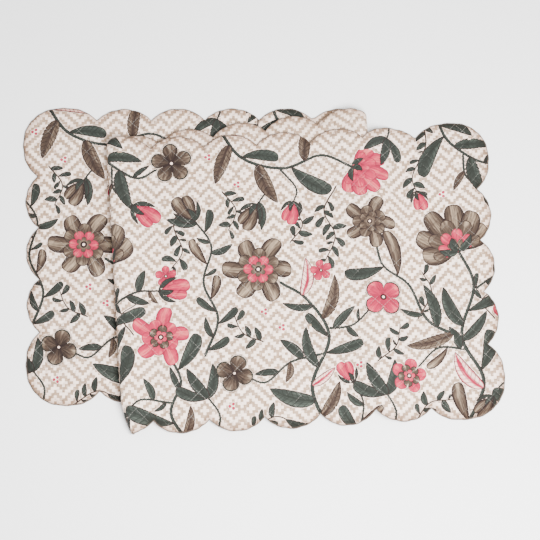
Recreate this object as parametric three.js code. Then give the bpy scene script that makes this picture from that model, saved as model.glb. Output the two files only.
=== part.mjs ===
// A scalloped, quilted table runner, folded back and forth into three layers and laid flat.
// Millimetres, +Z up. X runs along the runner, Y across it, and the table is at Z = 0.
//
// The runner is worked out as flat cloth first: u runs along its length from the end that lies
// lowest, v runs across it from its centre line. Folding carries each (u, v) to its place.
import * as THREE from 'three';

// Flat cloth: scallops of one pitch along every side, and at each corner a larger rounded lobe
// that stands a little proud of them. The corner's curve is a superellipse of this half-size.
const scallopPitch = 63.5;
const longSideScallops = 16;
const endScallops = 3;
const scallopDepth = 14.6;
const cornerReach = 87.5;
const cornerProud = 2.2;
const cornerHalfSize = 48.5;
const cornerExponent = 2.24;
const clothWidth = 2 * cornerReach + endScallops * scallopPitch;
const clothLength = 2 * cornerReach + longSideScallops * scallopPitch;
const widthTaper = 0.01;

// Thickness: a core, a thinner sewn edge, and puffs between the stitch lines of the right side
const coreThickness = 2.4;
const edgeThickness = 1.8;
const puffHeight = 1.0;
const hiddenPuffHeight = 0.8;

// Quilting: two sets of stitch lines at 45 degrees, each this far from the next
const stitchLineSpacing = 12.7;
const quiltStep = stitchLineSpacing * Math.SQRT1_2;

// Folds: each crosses the flat cloth at `place` on its centre line, leans towards the cloth's low
// end by `lean` degrees and turns with a middle `radius`, taking in `slack` more cloth than a
// round turn needs. The cloth that leaves it settles to the layer spacing within `settle`.
const folds = {
  right: { place: 409.1, lean: 4.1, radius: 6.0, slack: 0, settle: 45 },
  left: { place: 724.2, lean: 2.9, radius: 6.0, slack: 6.2, settle: 40 },
};

// The near end of the left fold is pinched. Over the last run before the edge, the fold takes in
// cloth from the top layer by `shift`, its turn narrows to this radius, and the middle layer is
// drawn back by twice the shift, which fades over `reach`, so that the top layer keeps its place.
const pinch = { start: 138, run: 46, power: 1.5, shift: 9, radius: 4, reach: 140 };

// Under the top layer, the near half of the middle layer lies drawn in by `pull` at its edge. That
// fades out towards the left fold and, past the right fold, in the bottom layer.
const tuck = { start: 30, run: 150, pull: 12, beforeLeft: 30, beyondRight: 60 };

// Spacing between the middles of neighbouring layers
const bottomToMiddle = 5.4;
const middleToTop = 4.0;

// How far past the right fold the top layer takes to come down to the table
const dropLength = 45;

// A layer that overhangs the near edge below it sinks over this run, which starts at that edge
const overhang = {
  middle: { start: 180, run: 40, left: 0.2 },
  top: { start: 184, run: 44 },
};

// Unevenness of the laid cloth: the whole turn on the table, and how each free end slants,
// drifts and bows in the plane over the span that leads to it
const laidTurn = -0.75;
const lowEnd = { span: 400, slant: -0.065, drift: -3.9, bow: -4.2 };
const topEnd = { span: 450, slant: -0.0045, drift: -1.7, bow: 14.5 };

// Mesh steps
const cornerSegments = 9;
const scallopSegments = 8;
const foldSegments = 6;
const settleSteps = [8, 16, 25, 35, 46];

const radians = THREE.MathUtils.degToRad;
const smooth = (t) => THREE.MathUtils.smoothstep(t, 0, 1);

// Direction across a fold (n) and along it (t), in the flat cloth
for (const fold of Object.values(folds)) {
  fold.nu = Math.cos(radians(fold.lean));
  fold.nv = Math.sin(radians(fold.lean));
  fold.arc = Math.PI * fold.radius + fold.slack;
}

// Distance past a fold line and distance along it
function foldCoordinates(fold, u, v) {
  const du = u - fold.place;
  return { past: du * fold.nu + v * fold.nv, along: -du * fold.nv + v * fold.nu };
}

function fromFold(fold, past, along) {
  return {
    u: fold.place + past * fold.nu - along * fold.nv,
    v: past * fold.nv + along * fold.nu,
  };
}

// The left fold's turn at a place across the cloth: how far its line has shifted, and its size
function leftTurn(v) {
  const share = Math.max(0, (-v - pinch.start) / pinch.run) ** pinch.power;
  const radius = THREE.MathUtils.lerp(folds.left.radius, pinch.radius, share);
  return { shift: share * pinch.shift, radius, arc: folds.left.arc };
}

// Where a point that far past the fold line ends up once the cloth is turned back over itself
function turnedBack(fold, past) {
  if (past < 0) return past;
  if (past < fold.arc) return fold.radius * Math.sin((Math.PI * past) / fold.arc);
  return fold.arc - past;
}

// Share of a half turn done at a distance past the fold line, as a share of its height
function turnedHeight(fold, past) {
  const share = THREE.MathUtils.clamp(past / fold.arc, 0, 1);
  return (1 - Math.cos(Math.PI * share)) / 2;
}

// Height of the middle layer over a place on the table, `past` the right fold
function middleLayerHeight(y, past) {
  const { start, run, left } = overhang.middle;
  const support = 1 - (1 - left) * smooth((-y - start) / run);
  const lift = 2 * folds.right.radius - bottomToMiddle;
  const settled = smooth(-past / folds.right.settle);
  return coreThickness / 2 + bottomToMiddle * support + lift * (1 - settled);
}

// Height of the top layer over the same place, `afterLeft` beyond the left fold's turn
function topLayerHeight(y, past, alongRight, afterLeft, leftRadius) {
  const middleCloth = fromFold(folds.right, folds.right.arc - past, alongRight);
  const { start, run } = overhang.top;
  const support = 1 - smooth((-middleCloth.v - start) / run);
  const lift = 2 * leftRadius - middleToTop;
  const settled = smooth(afterLeft / folds.left.settle);
  const stacked = middleLayerHeight(y, past) + middleToTop * support + lift * (1 - settled);
  const dropped = smooth((past - 1) / dropLength);
  return THREE.MathUtils.lerp(stacked, coreThickness / 2, dropped);
}

// How far a place in the middle or bottom layer is drawn in from the near edge
function tuckedIn(v, pastLeft, pastRight) {
  const nearEdge = smooth((-v - tuck.start) / tuck.run);
  const beforeLeft = smooth(-pastLeft / tuck.beforeLeft);
  const beyondRight = smooth(1 + pastRight / tuck.beyondRight);
  return tuck.pull * nearEdge * beforeLeft * beyondRight;
}

// Moves a point of a free end in the plane, by how far along its span it lies
function unevenEnd(point, end, distance, v) {
  const share = Math.max(distance, 0) / end.span;
  point.x += end.slant * v * share;
  point.y += end.drift * share + end.bow * share * share;
}

// The middle surface of the folded cloth
function foldedPoint(u, evenV) {
  const { right, left } = folds;
  const v = evenV * (1 + widthTaper * (0.5 - u / clothLength));
  const leftAt = foldCoordinates(left, u, v);
  const turn = leftTurn(v);
  const pastTurn = leftAt.past - turn.shift;
  const onTop = pastTurn > 0;
  const drawnBack = 2 * turn.shift * smooth(1 + pastTurn / pinch.reach);
  const afterTurn = turn.shift - drawnBack + turnedBack(turn, pastTurn);
  const turned = fromFold(left, afterTurn, leftAt.along);
  const rightAt = foldCoordinates(right, turned.u, turned.v);
  const past = onTop ? right.arc - rightAt.past : turnedBack(right, rightAt.past);
  const place = fromFold(right, past, rightAt.along);
  if (!onTop) place.v += tuckedIn(v, leftAt.past, rightAt.past);
  const point = new THREE.Vector3(place.u, place.v, coreThickness / 2);
  const middle = middleLayerHeight(place.v, past);
  if (onTop) {
    const top = topLayerHeight(place.v, past, rightAt.along, pastTurn - turn.arc, turn.radius);
    point.z = THREE.MathUtils.lerp(middle, top, turnedHeight(turn, pastTurn));
    unevenEnd(point, topEnd, leftAt.past - left.arc, v);
  } else {
    point.z = THREE.MathUtils.lerp(coreThickness / 2, middle, turnedHeight(right, rightAt.past));
    unevenEnd(point, lowEnd, -rightAt.past, v);
  }
  return point.applyAxisAngle(new THREE.Vector3(0, 0, 1), radians(laidTurn));
}

// Outward direction of the cloth's right side, from short steps along it and across it
function rightSideNormal(u, v) {
  const step = 0.05;
  const along = foldedPoint(u + step, v).sub(foldedPoint(u - step, v));
  const across = foldedPoint(u, v + step).sub(foldedPoint(u, v - step));
  return along.cross(across).normalize();
}

// Height of the quilting's puff, 0 on a stitch line and 1 midway between the lines
function puff(u, v, step) {
  const centred = u - clothLength / 2;
  const one = Math.sin((Math.PI * (centred + v)) / (2 * step));
  const other = Math.sin((Math.PI * (centred - v)) / (2 * step));
  return Math.abs(one * other);
}

// Outline of the flat cloth: scallops are arcs that meet in valleys, corners are superellipses
// that touch the cloth's two extremes and end at the first valley on each side
const scallopRadius = ((scallopPitch / 2) ** 2 + scallopDepth ** 2) / (2 * scallopDepth);
const valleyInset = cornerProud + scallopDepth;

// How far the edge lies inside the extreme line, at a distance along it from the corner
function edgeInset(along, scallops) {
  const sideLength = 2 * cornerReach + scallops * scallopPitch;
  const fromEnd = Math.min(along, sideLength - along);
  if (fromEnd < cornerReach) {
    const share = Math.abs(fromEnd / cornerHalfSize - 1);
    const across = (1 - share ** cornerExponent) ** (1 / cornerExponent);
    return cornerHalfSize * (1 - across);
  }
  const inScallop = ((fromEnd - cornerReach) % scallopPitch) - scallopPitch / 2;
  const sagitta = Math.sqrt(scallopRadius ** 2 - inScallop ** 2) - (scallopRadius - scallopDepth);
  return valleyInset - sagitta;
}

// Distances along one side at which the outline has a point: half of each corner, then scallops
function sideStations(scallops) {
  const sideLength = 2 * cornerReach + scallops * scallopPitch;
  const diagonal = cornerHalfSize * (1 - 0.5 ** (1 / cornerExponent));
  const cornerStations = [];
  for (let i = 0; i < cornerSegments; i += 1) {
    const share = i / cornerSegments;
    cornerStations.push(THREE.MathUtils.lerp(diagonal, cornerReach, share ** 0.9));
  }
  const middleStations = [];
  for (let i = 0; i <= scallops * scallopSegments; i += 1) {
    middleStations.push(cornerReach + (i * scallopPitch) / scallopSegments);
  }
  const mirrored = cornerStations.map((along) => sideLength - along).reverse();
  return [...cornerStations, ...middleStations, ...mirrored.slice(0, -1)];
}

// Distances past each fold line at which a column of points follows the fold
function foldStations(fold) {
  const stations = [-9];
  for (let i = 0; i <= foldSegments; i += 1) {
    stations.push((fold.arc * i) / foldSegments);
  }
  return [...stations, ...settleSteps.map((step) => fold.arc + step)];
}

// Place along the cloth of a fold's column at a place across it, shifted with the left fold's line
function foldColumn(fold, past, v) {
  const shift = fold === folds.left ? leftTurn(v).shift : 0;
  return fold.place + (past + shift - v * fold.nv) / fold.nu;
}

// Columns of points across the cloth: straight ones on the quilting's lattice, leaning ones at
// the folds, and none where the two would crowd each other
const topRow = 18;
const rowReach = topRow * quiltStep;
const lastColumn = Math.floor((clothLength / 2 - 2 * quiltStep) / quiltStep);

function foldZone(fold) {
  const lean = (rowReach * fold.nv) / fold.nu;
  const margin = quiltStep * 0.6;
  const stations = foldStations(fold);
  return {
    from: fold.place + stations[0] - lean - margin,
    to: fold.place + stations.at(-1) + lean + margin,
  };
}

const lowEndShows = 140;

// Each column says where it is at a height v and how many lattice rows it skips
function columnList(latticeStep, rowStepAt) {
  const zones = Object.values(folds).map(foldZone);
  const columns = [];
  for (let j = -lastColumn; j <= lastColumn; j += 1) {
    const u = clothLength / 2 + j * quiltStep;
    const inZone = zones.some((zone) => u > zone.from && u < zone.to);
    const wanted = (j + lastColumn) % latticeStep(u) === 0 || Math.abs(j) === lastColumn;
    if (!inZone && wanted) {
      columns.push({ middle: u, at: () => u, rowStep: rowStepAt(u) });
    }
  }
  for (const fold of Object.values(folds)) {
    for (const past of foldStations(fold)) {
      const middle = foldColumn(fold, past, 0);
      columns.push({ middle, at: (v) => foldColumn(fold, past, v), rowStep: rowStepAt(middle) });
    }
  }
  return columns.sort((a, b) => a.middle - b.middle);
}

// Twice the area of a triangle in the flat cloth, positive where it runs counter-clockwise
function flatArea(a, b, c) {
  return (b.u - a.u) * (c.v - a.v) - (b.v - a.v) * (c.u - a.u);
}

// Triangulates the strip between two runs of vertices, taking the shorter link each time that it
// leaves room for the next ones. Equal links give way to the lower pair, so that stitch lines are
// edges of the mesh.
function fillStrip(first, second, triangles) {
  const tie = 0.01;
  const least = 0.5;
  const linksAhead = 4;
  const seesAhead = (from, j) => second
    .slice(j, j + linksAhead)
    .every((point, k, ahead) => k === 0 || flatArea(from, ahead[k - 1], point) > least);
  let i = 0;
  let j = 0;
  while (i < first.length - 1 || j < second.length - 1) {
    let stepFirst = j === second.length - 1;
    if (i < first.length - 1 && j < second.length - 1) {
      const [a, b, nextA, nextB] = [first[i], second[j], first[i + 1], second[j + 1]];
      const lead = Math.hypot(nextA.u - b.u, nextA.v - b.v) - Math.hypot(nextB.u - a.u, nextB.v - a.v);
      const firstFits = flatArea(a, b, nextA) > least && seesAhead(nextA, j);
      const secondFits = Math.min(flatArea(a, b, nextB), flatArea(a, nextB, nextA)) > least;
      stepFirst = Math.abs(lead) > tie ? lead < 0 : nextA.rise + b.rise < a.rise + nextB.rise;
      if (firstFits !== secondFits) stepFirst = firstFits;
    }
    if (stepFirst) {
      triangles.push([first[i], second[j], first[i + 1]]);
      i += 1;
    } else {
      triangles.push([first[i], second[j], second[j + 1]]);
      j += 1;
    }
  }
}

// Points along a long side of the flat cloth: the scallops' own, and at each fold the places
// where the fold's columns meet the edge
function longSidePoints(side) {
  const halfWidth = (u) => clothWidth / 2 - edgeInset(u, longSideScallops);
  const isValley = (u) => valleyInset - edgeInset(u, longSideScallops) < 0.001;
  const solveRounds = 6;
  const zoneMargin = 3;
  const least = 1.3;
  let places = sideStations(longSideScallops);
  for (const fold of Object.values(folds)) {
    const crossings = foldStations(fold).map((past) => {
      let u = foldColumn(fold, past, 0);
      for (let round = 0; round < solveRounds; round += 1) {
        u = foldColumn(fold, past, side * halfWidth(u));
      }
      return u;
    });
    const from = crossings[0] - zoneMargin;
    const to = crossings.at(-1) + zoneMargin;
    const kept = places.filter((u) => u < from || u > to || isValley(u));
    const added = crossings.filter((u) => kept.every((other) => Math.abs(other - u) > least));
    places = [...kept, ...added];
  }
  places.sort((a, b) => a - b);
  return places.map((u) => ({ u, v: side * halfWidth(u) }));
}

function endPoints(end, inward) {
  return sideStations(endScallops).map((along) => ({
    u: end + inward * edgeInset(along, endScallops),
    v: along - clothWidth / 2,
  }));
}

// The outline of the flat cloth, counter-clockwise from the low end's near corner
function outlinePoints() {
  const sides = [
    longSidePoints(-1),
    endPoints(clothLength, -1),
    longSidePoints(1).reverse(),
    endPoints(0, 1).reverse(),
  ];
  const sameWithin = 0.5;
  const around = [];
  for (const point of sides.flat()) {
    const previous = around.at(-1) ?? { u: Infinity, v: 0 };
    if (Math.hypot(point.u - previous.u, point.v - previous.v) > sameWithin) around.push(point);
  }
  const [start] = around;
  const end = around.at(-1);
  if (Math.hypot(start.u - end.u, start.v - end.v) < sameWithin) around.pop();
  return around;
}

// One face of the cloth: its lattice columns, filled, and the ring out to the outline
function buildFace(columns, outline, riseAt, offsetAt) {
  const triangles = [];
  const grid = columns.map((column) => {
    const rows = [];
    for (let i = -topRow; i <= topRow; i += column.rowStep) {
      const v = i * quiltStep;
      const u = column.at(v);
      const rise = riseAt(u, v);
      rows.push({ u, v, rise, offset: offsetAt(rise) });
    }
    return rows;
  });
  for (let c = 1; c < grid.length; c += 1) {
    fillStrip(grid[c - 1], grid[c], triangles);
  }
  const ring = [
    ...grid.map((rows) => rows[0]),
    ...grid.at(-1).slice(1, -1),
    ...grid.map((rows) => rows.at(-1)).reverse(),
    ...grid[0].slice(1, -1).reverse(),
  ];
  fillStrip([...ring, ring[0]], [...outline, outline[0]], triangles);
  return triangles;
}

// Right side: the full lattice where it shows, every second row and column where it is covered
const showsFrom = folds.left.place - 2;
const rightSideShows = (u) => u < lowEndShows || u > showsFrom;
const rightSideStep = (u) => (rightSideShows(u) ? 1 : 2);
const rightSideRise = (u, v) => {
  const step = rightSideStep(u) * quiltStep;
  const height = rightSideShows(u) ? puffHeight : hiddenPuffHeight;
  return height * puff(u, v, step);
};

// Wrong side: flat, with wider steps wherever the cloth lies level
const aboveRightFold = 2 * folds.left.place - folds.right.place;
const stretches = [
  { name: 'bottom layer', upTo: folds.right.place + 40, step: 4 },
  { name: 'stack', upTo: aboveRightFold - 75, step: 2 },
  { name: 'drop to the table', upTo: aboveRightFold + 95, step: 1 },
  { name: 'free end', upTo: clothLength, step: 4 },
];
const wrongSideStep = (u) => stretches.find(({ upTo }) => u <= upTo).step;

// The whole cloth: its right side, its wrong side and the narrow edge between them
function buildRunnerGeometry() {
  const half = coreThickness / 2;
  const edgeAt = (offset) => outlinePoints().map((point) => ({ ...point, rise: 0, offset }));
  const upperEdge = edgeAt(edgeThickness - half);
  const lowerEdge = edgeAt(-half);
  const rightColumns = columnList(rightSideStep, rightSideStep);
  const wrongColumns = columnList(wrongSideStep, () => 2);
  const rightSide = buildFace(rightColumns, upperEdge, rightSideRise, (rise) => half + rise);
  const wrongSide = buildFace(wrongColumns, lowerEdge, () => 0, () => -half);
  const triangles = [...rightSide, ...wrongSide.map(([a, b, c]) => [a, c, b])];
  upperEdge.forEach((upper, k) => {
    const next = (k + 1) % upperEdge.length;
    triangles.push([upper, lowerEdge[k], lowerEdge[next]], [upper, lowerEdge[next], upperEdge[next]]);
  });
  const places = new Map();
  const positions = [];
  const indices = [];
  for (const corner of triangles.flat()) {
    if (!places.has(corner)) {
      const normal = rightSideNormal(corner.u, corner.v);
      const point = foldedPoint(corner.u, corner.v).addScaledVector(normal, corner.offset);
      places.set(corner, positions.length / 3);
      positions.push(point.x, point.y, point.z);
    }
    indices.push(places.get(corner));
  }
  const geometry = new THREE.BufferGeometry();
  geometry.setAttribute('position', new THREE.Float32BufferAttribute(positions, 3));
  geometry.setIndex(indices);
  geometry.computeVertexNormals();
  return geometry;
}

const printedCotton = new THREE.MeshStandardMaterial({
  color: '#e2d9d2',
  roughness: 0.9,
  metalness: 0,
});

const geometry = buildRunnerGeometry();
geometry.computeBoundingBox();
const middle = geometry.boundingBox.getCenter(new THREE.Vector3());

const runner = new THREE.Mesh(geometry, printedCotton);
runner.name = 'quilted_runner';
runner.position.set(-middle.x, -middle.y, 0);

const model = new THREE.Group();
model.add(runner);

export default model;
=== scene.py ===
"""A quilted, scalloped table runner, folded back and forth into three layers and laid on a table.

Lengths in the classes are millimetres of the real runner unless a name says metres. The runner is
worked out as flat cloth first: u runs along its length from the end that lies lowest, v runs
across it from its centre line. Folding then carries each (u, v) to its place on the table.
"""

import logging
import math
from abc import ABC, abstractmethod
from dataclasses import dataclass, field, replace
from enum import IntEnum, StrEnum
from functools import partial

import bpy
import numpy as np
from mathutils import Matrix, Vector


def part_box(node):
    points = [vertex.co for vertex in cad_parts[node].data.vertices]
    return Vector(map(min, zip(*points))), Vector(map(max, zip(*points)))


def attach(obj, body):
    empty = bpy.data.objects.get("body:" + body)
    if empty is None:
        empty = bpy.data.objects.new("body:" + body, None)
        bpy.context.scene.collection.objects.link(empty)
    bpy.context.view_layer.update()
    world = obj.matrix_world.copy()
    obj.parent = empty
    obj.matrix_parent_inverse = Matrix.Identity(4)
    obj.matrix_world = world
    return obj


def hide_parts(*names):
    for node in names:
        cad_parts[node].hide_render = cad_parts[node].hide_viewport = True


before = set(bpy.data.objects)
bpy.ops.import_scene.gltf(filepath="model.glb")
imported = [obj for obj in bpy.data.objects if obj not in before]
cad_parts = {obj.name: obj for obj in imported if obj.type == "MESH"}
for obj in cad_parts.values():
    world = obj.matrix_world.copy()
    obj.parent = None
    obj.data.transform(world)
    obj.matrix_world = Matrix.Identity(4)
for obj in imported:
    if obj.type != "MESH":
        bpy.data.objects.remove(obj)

log = logging.getLogger("table_runner")

MM = 0.001
CAD_NODE = "quilted_runner"
TURN = 2 * math.pi
Array = np.ndarray
Place = tuple[float, float]


def smooth(t: Array) -> Array:
    """Ease from 0 to 1 with level ends: three t squared less two t cubed, t held to 0..1."""
    held = np.clip(t, 0.0, 1.0)
    return held * held * (3.0 - 2.0 * held)


def seen_from(start: Place, heading: float, u: Array, v: Array) -> tuple[Array, Array]:
    """Turns places about a start: how far each lies along a heading, and how far to its left.

    Args:
        start: Where it is seen from.
        heading: The heading in degrees.
        u: Places along the cloth.
        v: Places across it.

    Returns:
        Distances along the heading and across it.
    """
    turn = math.radians(heading)
    du, dv = u - start[0], v - start[1]
    along = du * math.cos(turn) + dv * math.sin(turn)
    return along, dv * math.cos(turn) - du * math.sin(turn)


def gone_from(start: Place, heading: float, along: Array, across: Array) -> tuple[Array, Array]:
    """The reverse of `seen_from`: the places at distances along a heading and across it.

    Args:
        start: Where the way starts.
        heading: The heading in degrees.
        along: Distances along the heading.
        across: Distances to its left.

    Returns:
        Places along the cloth and across it.
    """
    turn = math.radians(heading)
    u = start[0] + along * math.cos(turn) - across * math.sin(turn)
    return u, start[1] + along * math.sin(turn) + across * math.cos(turn)


@dataclass(frozen=True)
class FlatCloth:
    """The runner as cut: equal scallops along every side and a larger rounded lobe at each corner."""

    scallop_pitch: float = 63.5
    long_side_scallops: int = 16
    end_scallops: int = 3
    scallop_depth: float = 14.6
    corner_reach: float = 87.5
    corner_proud: float = 2.2
    corner_half_size: float = 48.5
    corner_exponent: float = 2.24
    width_taper: float = 0.01

    @property
    def width(self) -> float:
        """Width over the corner lobes."""
        return 2 * self.corner_reach + self.end_scallops * self.scallop_pitch

    @property
    def length(self) -> float:
        """Length over the corner lobes."""
        return 2 * self.corner_reach + self.long_side_scallops * self.scallop_pitch

    @property
    def valley_inset(self) -> float:
        """How far a valley between scallops lies inside the line that the corner lobes touch."""
        return self.corner_proud + self.scallop_depth

    def scallop_inset(self, along: Array, scallops: int) -> Array:
        """Inset of a scalloped edge: each scallop is an arc of one circle between two valleys.

        Args:
            along: Distances along the side from the corner's extreme line.
            scallops: How many scallops the side has.

        Returns:
            How far the edge lies inside the extreme line.
        """
        half = self.scallop_pitch / 2
        radius = (half**2 + self.scallop_depth**2) / (2 * self.scallop_depth)
        side = 2 * self.corner_reach + scallops * self.scallop_pitch
        from_end = np.minimum(along, side - along)
        from_crown = (from_end - self.corner_reach) % self.scallop_pitch - half
        sagitta = np.sqrt(radius**2 - from_crown**2) - (radius - self.scallop_depth)
        return self.valley_inset - sagitta

    def lobe_point(self, turn: Array) -> tuple[Array, Array]:
        """Edge of a corner lobe, a superellipse, seen from its centre.

        Args:
            turn: Angles from the direction along the long side towards the cloth's middle.

        Returns:
            Distances from the end's and from the side's extreme line.
        """
        n = self.corner_exponent
        reach = (np.abs(np.cos(turn)) ** n + np.abs(np.sin(turn)) ** n) ** (-1 / n)
        along = self.corner_half_size * (1 + np.cos(turn) * reach)
        inset = self.corner_half_size * (1 - np.sin(turn) * reach)
        return along, inset


@dataclass(frozen=True)
class Fold:
    """One half turn of the cloth about a leaning fold line.

    `place` is where the line crosses the cloth's centre line, `lean` its angle in degrees towards
    the low end, `radius` that of the turn's middle, `slack` the cloth that it takes in beyond a
    round turn, and `settle` the run in which the cloth that leaves it comes down again.
    """

    place: float
    lean: float
    radius: float
    slack: float
    settle: float

    @property
    def arc(self) -> float:
        """Length of cloth in the turn."""
        return math.pi * self.radius + self.slack

    def coordinates(self, u: Array, v: Array) -> tuple[Array, Array]:
        """How far places lie past the fold line and along it."""
        return seen_from((self.place, 0.0), self.lean, u, v)

    def from_coordinates(self, past: Array, along: Array) -> tuple[Array, Array]:
        """The reverse of `coordinates`."""
        return gone_from((self.place, 0.0), self.lean, past, along)

    def turned_back(self, past: Array, radius: Array | float) -> Array:
        """Distance past the line once the cloth is turned: half a sine wave, then straight back."""
        in_turn = radius * np.sin(np.pi * np.clip(past, 0, self.arc) / self.arc)
        return np.where(past < 0, past, np.where(past < self.arc, in_turn, self.arc - past))

    def turned_share(self, past: Array) -> Array:
        """Share of the turn's height gained: half of one less the cosine of the turned angle."""
        return (1 - np.cos(np.pi * np.clip(past / self.arc, 0, 1))) / 2


@dataclass(frozen=True)
class Pinch:
    """The near end of the left fold: its line moves on along the cloth, its turn narrows, and the
    middle layer is drawn back by twice that shift, so that the top layer keeps its place."""

    start: float = 138.0
    run: float = 46.0
    power: float = 1.5
    shift: float = 9.0
    radius: float = 4.0
    reach: float = 140.0

    def share(self, v: Array) -> Array:
        """How far the pinch has come: a power of the share of its run, zero before it starts."""
        return (np.maximum(-v - self.start, 0) / self.run) ** self.power


@dataclass(frozen=True)
class Tuck:
    """How the middle layer's near half lies drawn in under the top layer, most at its edge."""

    start: float = 30.0
    run: float = 150.0
    pull: float = 12.0
    before_left: float = 30.0
    beyond_right: float = 60.0

    def shift(self, v: Array, past_left: Array, past_right: Array) -> Array:
        """Movement away from the near edge: eased over the width, and towards each fold.

        Args:
            v: Places across the cloth.
            past_left: Distances past the left fold line.
            past_right: Distances past the right fold line.

        Returns:
            Movements across the table.
        """
        near_edge = smooth((-v - self.start) / self.run)
        before_left = smooth(-past_left / self.before_left)
        beyond_right = smooth(1 + past_right / self.beyond_right)
        return self.pull * near_edge * before_left * beyond_right


@dataclass(frozen=True)
class FreeEnd:
    """How a free end lies unevenly: it slants, drifts and bows in the plane over a span."""

    span: float
    slant: float
    drift: float
    bow: float

    def shift(self, distance: Array, v: Array) -> tuple[Array, Array]:
        """Movement in X and Y, in step with the share of the span, squared for the bow."""
        share = np.maximum(distance, 0) / self.span
        return self.slant * v * share, self.drift * share + self.bow * share**2


@dataclass(frozen=True)
class Crease:
    """A soft trough or ridge laid on the cloth, from one flat place to another."""

    start: Place
    end: Place
    reach: float
    rise: float
    end_fade: float = 1.5

    def height(self, u: Array, v: Array) -> Array:
        """Rise along a segment: a bell curve of the distance from it, fading out at its two ends.

        Args:
            u: Places along the cloth.
            v: Places across it.

        Returns:
            Heights over the smooth cloth, below zero in a trough.
        """
        (u0, v0), (u1, v1) = self.start, self.end
        heading = math.degrees(math.atan2(v1 - v0, u1 - u0))
        along, off = seen_from(self.start, heading, u, v)
        beyond = np.maximum(np.maximum(-along, along - math.hypot(u1 - u0, v1 - v0)), 0)
        aside, past_end = off / self.reach, beyond / (self.end_fade * self.reach)
        return self.rise * np.exp(-(aside**2) - past_end**2)


HAND_CREASES = (
    Crease((1028, 107), (1067, 65), 3.2, -0.7),
    Crease((1050, -19), (1067, -33), 3.2, -0.6),
    Crease((1079, 62), (1109, 22), 5.5, 0.5),
    Crease((1092, -58), (1126, -96), 6.0, 0.5),
    Crease((1138, 88), (1165, 52), 4.5, -0.5),
    Crease((1150, -28), (1176, -8), 4.0, -0.5),
    Crease((1010, -142), (1042, -160), 4.0, -0.5),
    Crease((905, 160), (948, 168), 4.5, -0.5),
    Crease((782, 120), (774, 168), 4.5, -0.6),
    Crease((790, -96), (778, -150), 5.0, -0.6),
    Crease((22, 104), (58, 140), 5.0, 0.6),
    Crease((18, -52), (46, -84), 4.5, -0.5),
    Crease((60, -150), (96, -128), 5.0, -0.5),
)


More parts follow.
